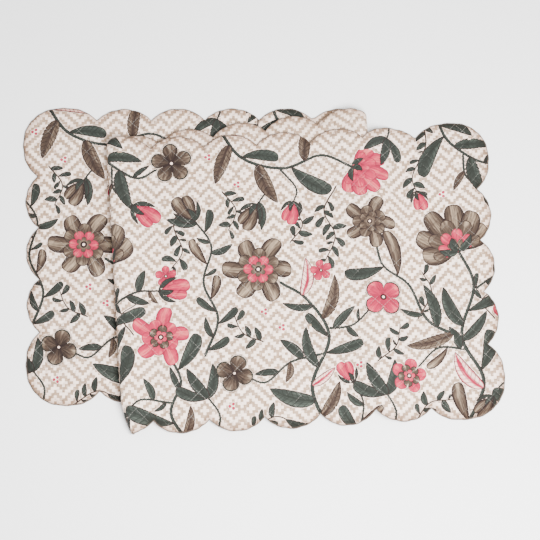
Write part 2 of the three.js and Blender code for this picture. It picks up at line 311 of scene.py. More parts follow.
@dataclass(frozen=True)
class Layup:
    """The folded runner: a bottom layer, a middle one turned over on it, and a top one on both.

    An overhang is where the layer starts to sink towards its near edge, the run in which it does,
    and for the middle layer the share of its height that it keeps.
    """

    cloth: FlatCloth = FlatCloth()
    right: Fold = Fold(place=409.1, lean=4.1, radius=6.0, slack=0.0, settle=45.0)
    left: Fold = Fold(place=724.2, lean=2.9, radius=6.0, slack=6.2, settle=40.0)
    pinch: Pinch = Pinch()
    tuck: Tuck = Tuck()
    core: float = 2.4
    bottom_to_middle: float = 5.4
    middle_to_top: float = 4.0
    drop_length: float = 45.0
    middle_overhang: tuple[float, float, float] = (180.0, 40.0, 0.2)
    top_overhang: tuple[float, float] = (184.0, 44.0)
    turn: float = -0.75
    slope_step: float = 0.05
    low_end: FreeEnd = FreeEnd(span=400, slant=-0.065, drift=-3.9, bow=-4.2)
    top_end: FreeEnd = FreeEnd(span=450, slant=-0.0045, drift=-1.7, bow=14.5)

    def middle_height(self, y: Array, past: Array) -> Array:
        """Height of the middle layer: its pitch, less an eased sink over the near edge, plus the
        fold's extra height that eases away.

        Args:
            y: Places across the table.
            past: Distances past the right fold line.

        Returns:
            Heights of the layer's middle surface.
        """
        start, run, left = self.middle_overhang
        support = 1 - (1 - left) * smooth((-y - start) / run)
        lift = 2 * self.right.radius - self.bottom_to_middle
        risen = 1 - smooth(-past / self.right.settle)
        return self.core / 2 + self.bottom_to_middle * support + lift * risen

    def top_height(self, y: Array, past: Array, along: Array, after_left: Array, radius: Array) -> Array:
        """Height of the top layer: as the middle one's, then an eased drop to the table past the
        right fold.

        Args:
            y: Places across the table.
            past: Distances past the right fold line.
            along: Distances along it.
            after_left: Distances beyond the left fold's turn.
            radius: Radius of that turn.

        Returns:
            Heights of the layer's middle surface.
        """
        start, run = self.top_overhang
        _, v_below = self.right.from_coordinates(self.right.arc - past, along)
        support = 1 - smooth((-v_below - start) / run)
        lift = 2 * radius - self.middle_to_top
        risen = 1 - smooth(after_left / self.left.settle)
        stacked = self.middle_height(y, past) + self.middle_to_top * support + lift * risen
        dropped = smooth((past - 1) / self.drop_length)
        return stacked + (self.core / 2 - stacked) * dropped

    def place(self, u: Array, even_v: Array) -> Array:
        """Middle surface of the folded cloth.

        Args:
            u: Places along the flat cloth.
            even_v: Places across it, before its taper.

        Returns:
            Points as rows of x, y, z.
        """
        right, left = self.right, self.left
        v = even_v * (1 + self.cloth.width_taper * (0.5 - u / self.cloth.length))
        past_left, along_left = left.coordinates(u, v)
        pinched = self.pinch.share(v)
        shift = self.pinch.shift * pinched
        radius = left.radius + (self.pinch.radius - left.radius) * pinched
        past_turn = past_left - shift
        on_top = past_turn > 0
        drawn_back = 2 * shift * smooth(1 + past_turn / self.pinch.reach)
        after_turn = shift - drawn_back + left.turned_back(past_turn, radius)
        turned = left.from_coordinates(after_turn, along_left)
        past_right, along_right = right.coordinates(*turned)
        past = np.where(on_top, right.arc - past_right, right.turned_back(past_right, right.radius))
        x, y = right.from_coordinates(past, along_right)
        y = y + np.where(on_top, 0, self.tuck.shift(v, past_left, past_right))
        after_left = past_left - left.arc
        middle = self.middle_height(y, past)
        top = self.top_height(y, past, along_right, past_turn - left.arc, radius)
        low = self.core / 2
        z_low = low + (middle - low) * right.turned_share(past_right)
        z_top = middle + (top - middle) * left.turned_share(past_turn)
        top_dx, top_dy = self.top_end.shift(after_left, v)
        low_dx, low_dy = self.low_end.shift(-past_right, v)
        x = x + np.where(on_top, top_dx, low_dx)
        y = y + np.where(on_top, top_dy, low_dy)
        x, y = gone_from((0.0, 0.0), self.turn, x, y)
        return np.stack([x, y, np.where(on_top, z_top, z_low)], axis=-1)

    def normal(self, u: Array, v: Array) -> Array:
        """Outward direction of the right side, from short steps along and across the cloth.

        Args:
            u: Places along the flat cloth.
            v: Places across it.

        Returns:
            Unit vectors as rows.
        """
        step = self.slope_step
        along = self.place(u + step, v) - self.place(u - step, v)
        across = self.place(u, v + step) - self.place(u, v - step)
        cross = np.cross(along, across)
        return cross / np.linalg.norm(cross, axis=-1, keepdims=True)


@dataclass(frozen=True)
class Quilting:
    """Stitch lines at 45 degrees both ways, with the wadding puffed up between them."""

    line_spacing: float = 12.7
    puff: float = 1.0
    fullness: float = 0.62

    @property
    def step(self) -> float:
        """Half the diagonal of a quilted diamond, the pitch of the lattice of its corners."""
        return self.line_spacing * math.sqrt(0.5)

    def rise(self, u: Array, v: Array) -> Array:
        """Puff height: the product of two sines across the diamond, filled out by a power.

        Args:
            u: Places along the cloth, from its middle.
            v: Places across it.

        Returns:
            Heights over the stitch lines.
        """
        one = np.sin(np.pi * (u + v) / (2 * self.step))
        other = np.sin(np.pi * (u - v) / (2 * self.step))
        return self.puff * np.abs(one * other) ** self.fullness


@dataclass(frozen=True)
class ClothGrid:
    """Vertices and faces of the flat cloth: a lattice of columns and rows, and a ring of rows that
    carries the lattice's border out to the scalloped edge."""

    cloth: FlatCloth
    layup: Layup
    quilting: Quilting
    half_rows: int = 18
    half_columns: int = 64
    row_parts: int = 3
    shown_parts: int = 3
    covered_parts: int = 2
    fold_parts: int = 6
    low_end_shows: float = 128.0
    fold_margin: float = 14.0
    edge_draw: float = 0.9
    ring_shares: tuple[float, ...] = (0.2, 0.4, 0.58, 0.74, 0.87, 0.955, 1.0)

    def columns(self) -> Array:
        """Places of the columns along the cloth: each lattice step in equal parts, finer at folds.

        Returns:
            Places along the cloth, in order.
        """
        step = self.quilting.step
        corners = self.cloth.length / 2 + step * np.arange(-self.half_columns, self.half_columns + 1)
        left_from = self.layup.left.place - self.fold_margin
        runs = []
        for start in corners[:-1]:
            middle = start + step / 2
            shows = middle < self.low_end_shows or middle > left_from
            parts = self.shown_parts if shows else self.covered_parts
            for fold in (self.layup.right, self.layup.left):
                if -self.fold_margin < middle - fold.place < fold.arc + self.fold_margin:
                    parts = self.fold_parts
            runs.append(start + step * np.arange(parts) / parts)
        return np.concatenate([*runs, corners[-1:]])

    def rows(self) -> Array:
        """Places of the rows across the cloth, in equal steps."""
        count = self.half_rows * self.row_parts
        return self.quilting.step / self.row_parts * np.arange(-count, count + 1)

    def edge_points(self, u: Array, v: Array) -> tuple[Array, Array]:
        """Point of the cloth's edge for each point of the lattice's border.

        Beside the scallops it lies straight across. Round a corner, equal shares of the border's
        way from valley to valley give equal angles about the centre of the corner's lobe, which
        takes up three quarters of a turn less the two angles at its valleys. The border point
        nearest a valley goes to the valley itself.

        Args:
            u: Places of the border along the cloth.
            v: Places of the border across it.

        Returns:
            Places of the edge points along the cloth and across it.
        """
        cloth = self.cloth
        half_u, half_v = cloth.length / 2, cloth.width / 2
        side_u, side_v = np.sign(u - half_u), np.sign(v)
        along_u = half_u - np.abs(u - half_u)
        along_v = half_v - np.abs(v)
        border_u, border_v = along_u.min(), along_v.min()
        valley = cloth.scallop_pitch
        near = self.quilting.step / 2 / self.row_parts

        def snapped(along: Array) -> Array:
            """Places along a side, moved onto a valley that lies within half a step."""
            off = (along - cloth.corner_reach + valley / 2) % valley - valley / 2
            return np.where(np.abs(off) < near, along - off, along)

        on_long = np.isclose(along_v, border_v)
        long_along, end_along = snapped(along_u), snapped(along_v)
        long_inset = cloth.scallop_inset(long_along, cloth.long_side_scallops)
        end_inset = cloth.scallop_inset(end_along, cloth.end_scallops)
        from_end = np.where(on_long, long_along, end_inset)
        from_side = np.where(on_long, long_inset, end_along)

        long_run = cloth.corner_reach - border_u
        end_run = cloth.corner_reach - border_v
        way = np.where(on_long, long_run - (along_u - border_u), long_run + (along_v - border_v))
        share = np.clip(way / (long_run + end_run), 0, 1)
        reach, inset = cloth.corner_reach, cloth.valley_inset
        first = math.atan2(cloth.corner_half_size - inset, reach - cloth.corner_half_size)
        turn = first + share * (0.75 * TURN - 2 * first)
        lobe_end, lobe_side = cloth.lobe_point(turn)
        in_lobe = np.where(on_long, along_u, along_v) < reach
        from_end = np.where(in_lobe, lobe_end, from_end)
        from_side = np.where(in_lobe, lobe_side, from_side)
        return half_u + side_u * (half_u - from_end), side_v * (half_v - from_side)

    def build(self) -> tuple[Array, Array, Array, Array]:
        """The flat cloth's vertices and quads.

        Returns:
            Places along the cloth, places across it, distances from the edge, and the quads, each
            four vertex numbers counter-clockwise seen from the right side. The vertices of the
            edge itself come last, in order round the cloth.
        """
        columns, rows = self.columns(), self.rows()
        nu, nv = len(columns), len(rows)
        grid_u, grid_v = np.meshgrid(columns, rows, indexing="ij")
        number = np.arange(nu * nv).reshape(nu, nv)
        border = np.concatenate([
            number[:, 0], number[-1, 1:], number[-2::-1, -1], number[0, -2:0:-1],
        ])
        lattice_u, lattice_v = grid_u.ravel(), grid_v.ravel()
        border_u, border_v = lattice_u[border], lattice_v[border]
        edge_u, edge_v = self.edge_points(border_u, border_v)
        width = np.hypot(edge_u - border_u, edge_v - border_v)
        puffed = self.quilting.rise(edge_u - self.cloth.length / 2, edge_v) / self.quilting.puff
        drawn_in = self.edge_draw * (1 - puffed) / width
        edge_u = edge_u + (border_u - edge_u) * drawn_in
        edge_v = edge_v + (border_v - edge_v) * drawn_in
        shares = np.array(self.ring_shares)[:, None]
        ring_u = border_u + (edge_u - border_u) * shares
        ring_v = border_v + (edge_v - border_v) * shares
        ring_off = width * (1 - shares)
        lattice_off = self.lattice_edge_distance(lattice_u, lattice_v)
        lattice_off[border] = width
        u = np.concatenate([lattice_u, ring_u.ravel()])
        v = np.concatenate([lattice_v, ring_v.ravel()])
        off = np.concatenate([lattice_off, ring_off.ravel()])
        around = len(border)
        loops = np.vstack([border, nu * nv + np.arange(ring_u.size).reshape(-1, around)])
        lattice_quads = self.quads(number)
        ring_quads = self.quads(np.hstack([loops, loops[:, :1]]).T)
        return u, v, off, np.vstack([lattice_quads, ring_quads[:, ::-1]])

    def lattice_edge_distance(self, u: Array, v: Array) -> Array:
        """Distance from the edge, measured straight to the nearest side.

        Args:
            u: Places along the cloth.
            v: Places across it.

        Returns:
            Distances.
        """
        cloth = self.cloth
        along_u = cloth.length / 2 - np.abs(u - cloth.length / 2)
        along_v = cloth.width / 2 - np.abs(v)
        beside = np.maximum(along_u, cloth.corner_reach)
        below = np.maximum(along_v, cloth.corner_reach)
        to_side = along_v - cloth.scallop_inset(beside, cloth.long_side_scallops)
        to_end = along_u - cloth.scallop_inset(below, cloth.end_scallops)
        return np.minimum(to_side, to_end)

    @staticmethod
    def quads(number: Array) -> Array:
        """Quads between neighbours in a table of vertex numbers, as rows of four."""
        corners = [number[:-1, :-1], number[1:, :-1], number[1:, 1:], number[:-1, 1:]]
        return np.stack(corners, axis=-1).reshape(-1, 4)


@dataclass
class RunnerSheet:
    """The whole cloth: its printed right side, its plain wrong side and the turned-in edge."""

    cloth: FlatCloth = field(default_factory=FlatCloth)
    layup: Layup = field(default_factory=Layup)
    quilting: Quilting = field(default_factory=Quilting)
    creases: tuple[Crease, ...] = HAND_CREASES
    edge_height: float = 0.5
    edge_round: float = 3.0
    puff_fade: float = 7.0
    seam_inset: float = 4.2
    seam_depth: float = 0.35
    seam_reach: float = 1.3
    back_puff: float = 0.35
    back_ease: float = 20.0
    rim_bulge: float = 0.35

    def laid_creases(self, u: Array, v: Array) -> Array:
        """Height of all the listed creases, added up."""
        return sum((crease.height(u, v) for crease in self.creases), np.zeros_like(u))

    def puffs(self, u: Array, v: Array, off: Array) -> Array:
        """Height of the quilting's puffs, which fade out towards the edge."""
        return self.quilting.rise(u - self.cloth.length / 2, v) * smooth(off / self.puff_fade)

    def right_offset(self, u: Array, v: Array, off: Array) -> Array:
        """Right side over the middle surface: half the core, rounded down to the thin edge, with
        puffs that fade towards the edge and a trough along the seam beside it.

        Args:
            u: Places along the cloth.
            v: Places across it.
            off: Distances from the edge.

        Returns:
            Offsets along the right side's normal.
        """
        half = self.layup.core / 2
        share = np.clip(off / self.edge_round, 0, 1)
        rounded = self.edge_height + (half - self.edge_height) * np.sqrt(share * (2 - share))
        seam = self.seam_depth * np.exp(-(((off - self.seam_inset) / self.seam_reach) ** 2))
        return rounded + self.puffs(u, v, off) - seam + self.laid_creases(u, v)

    def wrong_offset(self, u: Array, v: Array, off: Array) -> Array:
        """Wrong side under the middle surface: flat where it rests, lightly puffed in the middle
        layer, where it faces up.

        Args:
            u: Places along the cloth.
            v: Places across it.
            off: Distances from the edge.

        Returns:
            Offsets along the right side's normal, below zero.
        """
        layup, ease = self.layup, self.back_ease
        faces_up = smooth((u - layup.right.place) / ease) * smooth((layup.left.place - u) / ease)
        puffs = self.puffs(u, v, off) * self.back_puff / self.quilting.puff
        return (self.laid_creases(u, v) - puffs) * faces_up - layup.core / 2

    def build(self) -> tuple[bpy.types.Object, Array]:
        """Makes the sheet as one closed mesh, placed where the CAD runner lies.

        Returns:
            The object, and the flat places of its right side's face corners.
        """
        grid = ClothGrid(self.cloth, self.layup, self.quilting)
        u, v, off, quads = grid.build()
        middle = self.layup.place(u, v)
        normal = self.layup.normal(u, v)
        upper = middle + normal * self.right_offset(u, v, off)[:, None]
        lower = middle + normal * self.wrong_offset(u, v, off)[:, None]
        around = 2 * (len(grid.columns()) + len(grid.rows())) - 4
        count = len(u)
        edge = count - around + np.arange(around)
        outward = self.edge_outward(u[edge], v[edge])
        rim = (upper[edge] + lower[edge]) / 2 + outward * self.rim_bulge
        points = np.vstack([upper, lower, rim])
        rim_number = 2 * count + np.arange(around)
        bands = np.stack([edge, rim_number, count + edge], axis=1)
        rim_quads = ClothGrid.quads(np.vstack([bands, bands[:1]]))
        faces = np.vstack([quads, count + quads[:, ::-1], rim_quads[:, ::-1]])
        flat = np.stack([u, v], axis=1)
        flat = np.vstack([flat, flat, flat[edge]])
        off = np.concatenate([off, off, np.zeros(around)])
        right = np.repeat([1.0, 0.0, 1.0], [len(quads), len(quads), len(rim_quads)])
        points = self.centred(points)
        sheet = self.make_object("runner_cloth", points * MM, faces)
        self.add_maps(sheet.data, faces, flat, off, right)
        low, high = points.min(axis=0).round(1), points.max(axis=0).round(1)
        log.info("cloth: %d quads, box %s to %s mm", len(faces), low, high)
        return sheet, flat[quads]

    def edge_outward(self, u: Array, v: Array) -> Array:
        """Directions out of the edge in the folded cloth, from the edge's own run and the normal.

        Args:
            u: Places of the edge along the cloth, in order round it.
            v: Places of the edge across it.

        Returns:
            Unit vectors as rows.
        """
        place = self.layup.place(u, v)
        run = np.roll(place, -1, axis=0) - np.roll(place, 1, axis=0)
        outward = np.cross(run, self.layup.normal(u, v))
        return outward / np.linalg.norm(outward, axis=1, keepdims=True)

    @staticmethod
    def centred(points: Array) -> Array:
        """Moves the sheet in the plane so that its box has the CAD runner's centre.

        Args:
            points: Points in millimetres.

        Returns:
            The moved points.
        """
        low, high = (np.array(corner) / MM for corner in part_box(CAD_NODE))
        shift = (low + high) / 2 - (points.min(0) + points.max(0)) / 2
        shift[2] = 0.0
        return points + shift

    @staticmethod
    def make_object(name: str, points: Array, faces: Array) -> bpy.types.Object:
        """Makes a smooth mesh object of quads at the origin.

        Args:
            name: The object's name.
            points: Points in metres.
            faces: Quads as rows of vertex numbers.

        Returns:
            The object, linked to the scene.
        """
        mesh = bpy.data.meshes.new(name)
        mesh.vertices.add(len(points))
        mesh.vertices.foreach_set("co", points.astype(np.float32).ravel())
        mesh.loops.add(faces.size)
        mesh.loops.foreach_set("vertex_index", faces.astype(np.int32).ravel())
        mesh.polygons.add(len(faces))
        mesh.polygons.foreach_set("loop_start", np.arange(0, faces.size, 4, dtype=np.int32))
        mesh.polygons.foreach_set("use_smooth", np.ones(len(faces), dtype=bool))
        mesh.update(calc_edges=True)
        mesh.validate()
        made = bpy.data.objects.new(name, mesh)
        bpy.context.scene.collection.objects.link(made)
        return made

    @staticmethod
    def add_maps(mesh: bpy.types.Mesh, faces: Array, flat: Array, off: Array, right: Array) -> None:
        """Stores what the finish reads: flat places in metres as a UV map, the distance from the
        edge in millimetres, and which faces are the right side.

        Args:
            mesh: The sheet's mesh.
            faces: Its quads.
            flat: Flat places of its vertices.
            off: Distances of its vertices from the edge.
            right: One for each right-side face, zero for the others.
        """
        corners = (flat[faces.ravel()] * MM).astype(np.float32)
        mesh.uv_layers.new(name="cloth").data.foreach_set("uv", corners.ravel())
        edge = mesh.attributes.new("edge_distance", "FLOAT", "POINT")
        edge.data.foreach_set("value", off.astype(np.float32))
        side = mesh.attributes.new("right_side", "FLOAT", "FACE")
        side.data.foreach_set("value", right.astype(np.float32))


Colour = tuple[float, float, float, float]


def ink(red: int, green: int, blue: int) -> Colour:
    """The linear colour of eight-bit sRGB values, all of them past that scale's straight foot."""
    return (*(((value / 255 + 0.055) / 1.055) ** 2.4 for value in (red, green, blue)), 1.0)


class Num:
    """A number worked out by shader nodes, used in formulas like a plain number."""

    def __init__(self, graph: "Graph", socket: bpy.types.NodeSocket) -> None:
        """Keeps the graph that the number belongs to and the socket it comes out of."""
        self.graph = graph
        self.socket = socket

    def op(self, operation: str, *others: "Num | float") -> "Num":
        """This number and others through one math node."""
        return self.graph.math(operation, self, *others)

    def __add__(self, other: "Num | float") -> "Num":
        """Sum."""
        return self.op("ADD", other)

    __radd__ = __add__

    def __sub__(self, other: "Num | float") -> "Num":
        """Difference."""
        return self.op("SUBTRACT", other)

    def __rsub__(self, other: float) -> "Num":
        """Difference from a plain number."""
        return self.graph.math("SUBTRACT", other, self)

    def __mul__(self, other: "Num | float") -> "Num":
        """Product."""
        return self.op("MULTIPLY", other)

    __rmul__ = __mul__

    def __truediv__(self, other: "Num | float") -> "Num":
        """Quotient."""
        return self.op("DIVIDE", other)

    def __mod__(self, other: "Num | float") -> "Num":
        """Remainder, never below zero."""
        return self.op("FLOORED_MODULO", other)

    def __pow__(self, other: "Num | float") -> "Num":
        """Power."""
        return self.op("POWER", other)

    def __abs__(self) -> "Num":
        """Size without sign."""
        return self.op("ABSOLUTE")

    def __lt__(self, other: "Num | float") -> "Num":
        """One where this is less."""
        return self.op("LESS_THAN", other)

    def __gt__(self, other: "Num | float") -> "Num":
        """One where this is greater."""
        return self.op("GREATER_THAN", other)

    def at_least(self, other: "Num | float") -> "Num":
        """The greater of the two."""
        return self.op("MAXIMUM", other)

    def at_most(self, other: "Num | float") -> "Num":
        """The lesser of the two."""
        return self.op("MINIMUM", other)

    def floor(self) -> "Num":
        """Whole part."""
        return self.op("FLOOR")

    def part(self) -> "Num":
        """What is left over the whole part."""
        return self.op("FRACT")

    def reaches(self, option: int) -> "Num":
        """One where this is that whole number or more."""
        return self > option - 0.5

    def square(self) -> "Num":
        """This times itself."""
        return self * self

    def rises(self, start: float, end: float) -> "Num":
        """Ease from 0 at one value to 1 at another.

        Args:
            start: Where it is 0.
            end: Where it is 1, which may be the lesser of the two.

        Returns:
            The eased number.
        """
        low, high = min(start, end), max(start, end)
        ends = (0.0, 1.0) if start < end else (1.0, 0.0)
        values = (self, low, high, *ends)
        node = self.graph.add("ShaderNodeMapRange", *values, interpolation_type="SMOOTHSTEP")
        return Num(self.graph, node.outputs[0])


class Graph:
    """Adds nodes to one material and links them."""

    def __init__(self, name: str) -> None:
        """Makes a node material with only a principled shader.

        Args:
            name: The material's name.
        """
        self.material = bpy.data.materials.new(name)
        self.material.use_nodes = True
        self.tree = self.material.node_tree
        self.tree.nodes.clear()
        self.shader = self.add("ShaderNodeBsdfPrincipled")
        self.add("ShaderNodeOutputMaterial", self.shader.outputs[0])

    def add(self, kind: str, *values: object, **settings: object) -> bpy.types.Node:
        """Adds a node.

        Args:
            kind: The node's type.
            values: What goes into its inputs, in their order.
            settings: Values of its properties.

        Returns:
            The node.
        """
        node = self.tree.nodes.new(kind)
        for name, value in settings.items():
            setattr(node, name, value)
        for socket, value in zip(node.inputs, values):
            self.feed(socket, value)
        return node

    def feed(self, socket: bpy.types.NodeSocket, value: object) -> None:
        """Links a worked-out number or socket to an input, or sets a plain value on it.

        Args:
            socket: The input.
            value: What goes into it.
        """
        source = value.socket if isinstance(value, Num) else value
        if isinstance(source, bpy.types.NodeSocket):
            self.tree.links.new(source, socket)
        else:
            socket.default_value = source

    def dress(self, **values: object) -> None:
        """Feeds the shader's inputs, each named with underscores for its spaces."""
        for name, value in values.items():
            self.feed(self.shader.inputs[name.replace("_", " ")], value)

    def math(self, operation: str, *values: "Num | float") -> Num:
        """The result of one math node."""
        return Num(self, self.add("ShaderNodeMath", *values, operation=operation).outputs[0])

    def mix(self, share: "Num | float", start: object, end: object,
            blend: str = "MIX") -> bpy.types.NodeSocket:
        """A colour between two, or between one and its product with the other.

        Args:
            share: The share of the way.
            start: The colour at 0.
            end: The colour at 1, or what multiplies the first there.
            blend: MIX or MULTIPLY.

        Returns:
            The mixed colour.
        """
        node = self.add("ShaderNodeMix", share, data_type="RGBA", blend_type=blend)
        colours = [socket for socket in node.inputs if socket.type == "RGBA"]
        for socket, value in zip(colours, (start, end)):
            self.feed(socket, value)
        return next(socket for socket in node.outputs if socket.type == "RGBA")

    def vector(self, x: "Num | float", y: "Num | float") -> bpy.types.NodeSocket:
        """A vector from two numbers."""
        return self.add("ShaderNodeCombineXYZ", x, y).outputs[0]

    def split(self, vector: bpy.types.NodeSocket) -> list[Num]:
        """The three numbers of a vector."""
        return [Num(self, socket) for socket in self.add("ShaderNodeSeparateXYZ", vector).outputs]

    def flat_place(self, name: str) -> tuple[Num, Num]:
        """Place along the flat cloth and across it, in millimetres, from a UV map in metres."""
        along, across, _ = self.split(self.add("ShaderNodeUVMap", uv_map=name).outputs[0])
        return along / MM, across / MM

    def number(self, attribute: str) -> Num:
        """A number stored on the mesh."""
        return Num(self, self.add("ShaderNodeAttribute", attribute_name=attribute).outputs["Fac"])

    def four_numbers(self, layer: "Layer") -> tuple[Num, Num, Num, Num]:
        """The four numbers of a layer of the print, stored on the mesh as a colour with alpha."""
        read = self.add("ShaderNodeAttribute", attribute_name=layer.value)
        return *self.split(read.outputs["Vector"]), Num(self, read.outputs["Alpha"])

    def noise(self, place: bpy.types.NodeSocket, octaves: float, scale: float = 1.0) -> Num:
        """Cloudy noise about one half at a place, its scale in clouds for each of its units."""
        return Num(self, self.add("ShaderNodeTexNoise", place, 0.0, scale, octaves).outputs[0])


@dataclass(frozen=True)
class GroundTwill:
    """The printed ground: square cells in a stepped, pointed twill, a broken chevron with diamonds."""

    cell: float = 3.28
    climb: int = 7
    dip: int = 3
    down_climb: int = 10
    down_fall: int = 19
    stripe_period: int = 4
    stripe_cells: int = 2
    cream: Colour = ink(253, 229, 213)
    beige: Colour = ink(156, 130, 108)
    cloud_scale: float = 0.09
    fleck: float = 0.3
    fleck_scale: float = 0.26

    def colour(self, graph: Graph, u: Num, v: Num) -> bpy.types.NodeSocket:
        """Beige where the two zigzag counts of a cell add up to 0 or 1 in every 4, cream elsewhere.

        The count across climbs, dips and climbs back, and then goes the same way down. The count
        down climbs and then falls further. Flecks thin the beige in places and stain the cream in
        others.

        Args:
            graph: The material's graph.
            u: Place along the cloth.
            v: Place across it.

        Returns:
            The printed ground's colour.
        """
        half = self.climb + 2 * self.dip
        place = (u / self.cell).floor() % (2 * half)
        second = place > half - 0.5
        local = place - second * half
        up = local.at_most((2 * self.climb - local).at_least(local - 2 * self.dip))
        across = up + second * (self.climb - up * 2)
        row = (v / self.cell).floor()
        rows = self.down_climb + self.down_fall
        fallen = row % rows
        drift = (row / rows).floor() * (self.down_fall - self.down_climb)
        down = fallen.at_most(2 * self.down_climb - fallen) - drift
        beige = (across + down) % self.stripe_period < self.stripe_cells - 0.5
        cloud = graph.noise(graph.vector(u, v), 2.0, self.cloud_scale)
        fleck = graph.noise(graph.vector(u, v), 3.0, self.fleck_scale)
        thin = beige * cloud.rises(-0.9, 0.55) * (1 - fleck.rises(0.52, 0.3) * self.fleck)
        stain = (1 - beige) * fleck.rises(0.48, 0.75) * self.fleck
        return graph.mix(thin + stain, self.cream, self.beige)


class Ink(IntEnum):
    """Ink of a leaf, petal or stem."""

    GREEN = 0
    TAUPE = 1
    PINK = 2
    NONE = 3


class Outline(IntEnum):
    """Shape of a leaf or petal."""

    TOOTHED = 0
    POINTED = 1
    ROUNDED = 2


class Head(IntEnum):
    """What grows at the tip of a twig."""

    NONE = 0
    FLOWER = 1
    BLOSSOM = 2
    BELL = 3
    BUD = 4
    FAN = 5


class Layer(StrEnum):
    """A layer of the print, from the lowest to the topmost."""

    STEMS_LOW = "stems_low"
    STEMS_HIGH = "stems_high"
    LEAVES_LOW = "leaves_low"
    LEAVES_HIGH = "leaves_high"
    PETALS_BEHIND = "petals_behind"
    PETALS_FRONT = "petals_front"
    FLOWERS = "flowers"
    CALYX = "calyx"
    BERRIES = "berries"


class Packed(IntEnum):
    """How many of the lesser numbers go into one of each when a motif's kind is one number."""

    OUTLINE = 4
    LOOK = 16
    INNER_INK = 3
    HALF_SEEN = 12
    FRINGED = 24
    BROWN = 2


def four(*numbers: Array | float) -> Array:
    """The four numbers of each place, stacked."""
    return np.stack(np.broadcast_arrays(*numbers), axis=-1)


@dataclass(frozen=True)
class Motif(ABC):
    """One thing in the print: where it lies, and what tells its neighbours to stay clear."""

    place: Place

    @property
    @abstractmethod
    def room(self) -> float:
        """Half the room that it needs across."""

    def marks(self) -> Array:
        """Places that other motifs keep away from: here its own alone."""
        return np.array([self.place])

    def moved(self, shift: float) -> "Motif":
        """The same motif further along the cloth."""
        return replace(self, place=(self.place[0] + shift, self.place[1]))

    def gap(self, u: Array, v: Array) -> Array:
        """Rough distance outside the motif, below zero inside it."""
        return np.hypot(*seen_from(self.place, 0.0, u, v)) - self.room

    @abstractmethod
    def numbers(self, u: Array, v: Array) -> Array:
        """The four numbers that the ink reads at each place."""


@dataclass(frozen=True)
class Leaf(Motif):
    """A leaf or petal about a bent midrib, which is a parabola over the straight way to its tip."""

    heading: float
    length: float
    half_width: float
    bend: float
    ink: Ink
    outline: Outline
    tone: float = 0.5

    @property
    def room(self) -> float:
        """Half the room that it needs across."""
        return self.half_width * 0.85

    def midrib(self, share: Array) -> Array:
        """How far the midrib lies to the left of the straight way."""
        return self.bend * self.length * 4 * share * (1 - share)

    def local(self, u: Array, v: Array) -> tuple[Array, Array]:
        """Share of the way to the tip, and distance across from the midrib.

        Args:
            u: Places along the cloth.
            v: Places across it.

        Returns:
            Shares and distances.
        """
        along, across = seen_from(self.place, self.heading, u, v)
        share = along / self.length
        return share, across - self.midrib(np.clip(share, 0, 1))

    def gap(self, u: Array, v: Array) -> Array:
        """Rough distance outside the leaf, as if it were a band along its midrib.

        Args:
            u: Places along the cloth.
            v: Places across it.

        Returns:
            Distances, below zero inside.
        """
        share, across = self.local(u, v)
        beyond = np.maximum(-share, share - 1) * self.length
        return np.maximum(np.abs(across) - self.half_width * 0.8, beyond)

    def numbers(self, u: Array, v: Array) -> Array:
        """Share, distance across, half width, and the kind: ink, outline and tone in one number."""
        kind = self.ink + Packed.OUTLINE * self.outline + 0.9 * (self.tone % 1)
        return four(*self.local(u, v), self.half_width, kind)

    def marks(self) -> Array:
        """Places along the midrib, to keep leaves apart.

        Returns:
            Places as rows.
        """
        shares = np.linspace(0.2, 0.95, 7)
        along, across = shares * self.length, self.midrib(shares)
        return np.stack(gone_from(self.place, self.heading, along, across), axis=1)


@dataclass(frozen=True)
class FlowerLook:
    """Inks of a flower's two rings of petals, and whether it is seen from the side or fringed."""

    outer: Ink
    inner: Ink = Ink.NONE
    half_seen: bool = False
    fringed: bool = False

    @property
    def code(self) -> int:
        """One number for all four."""
        seen = Packed.HALF_SEEN * self.half_seen + Packed.FRINGED * self.fringed
        return self.outer + Packed.INNER_INK * self.inner + seen


@dataclass(frozen=True)
class Flower(Motif):
    """An open flower: rings of petals about its middle, drawn in polar form."""

    heading: float
    radius: float
    petals: int
    look: FlowerLook

    @property
    def room(self) -> float:
        """Half the room that it needs across."""
        return self.radius

    def numbers(self, u: Array, v: Array) -> Array:
        """Places in its own directions, the first along its heading, its radius and its kind."""
        kind = self.petals + Packed.LOOK * self.look.code
        return four(*seen_from(self.place, self.heading, u, v), self.radius, kind)


@dataclass(frozen=True)
class Berries(Motif):
    """Three round berries about one middle."""

    radius: float = 1.8

    @property
    def room(self) -> float:
        """Half the room that they need across."""
        return 2.6 * self.radius

    def numbers(self, u: Array, v: Array) -> Array:
        """Places from their middle, and the radius of one."""
        return four(*seen_from(self.place, 0.0, u, v), self.radius, 0.0)


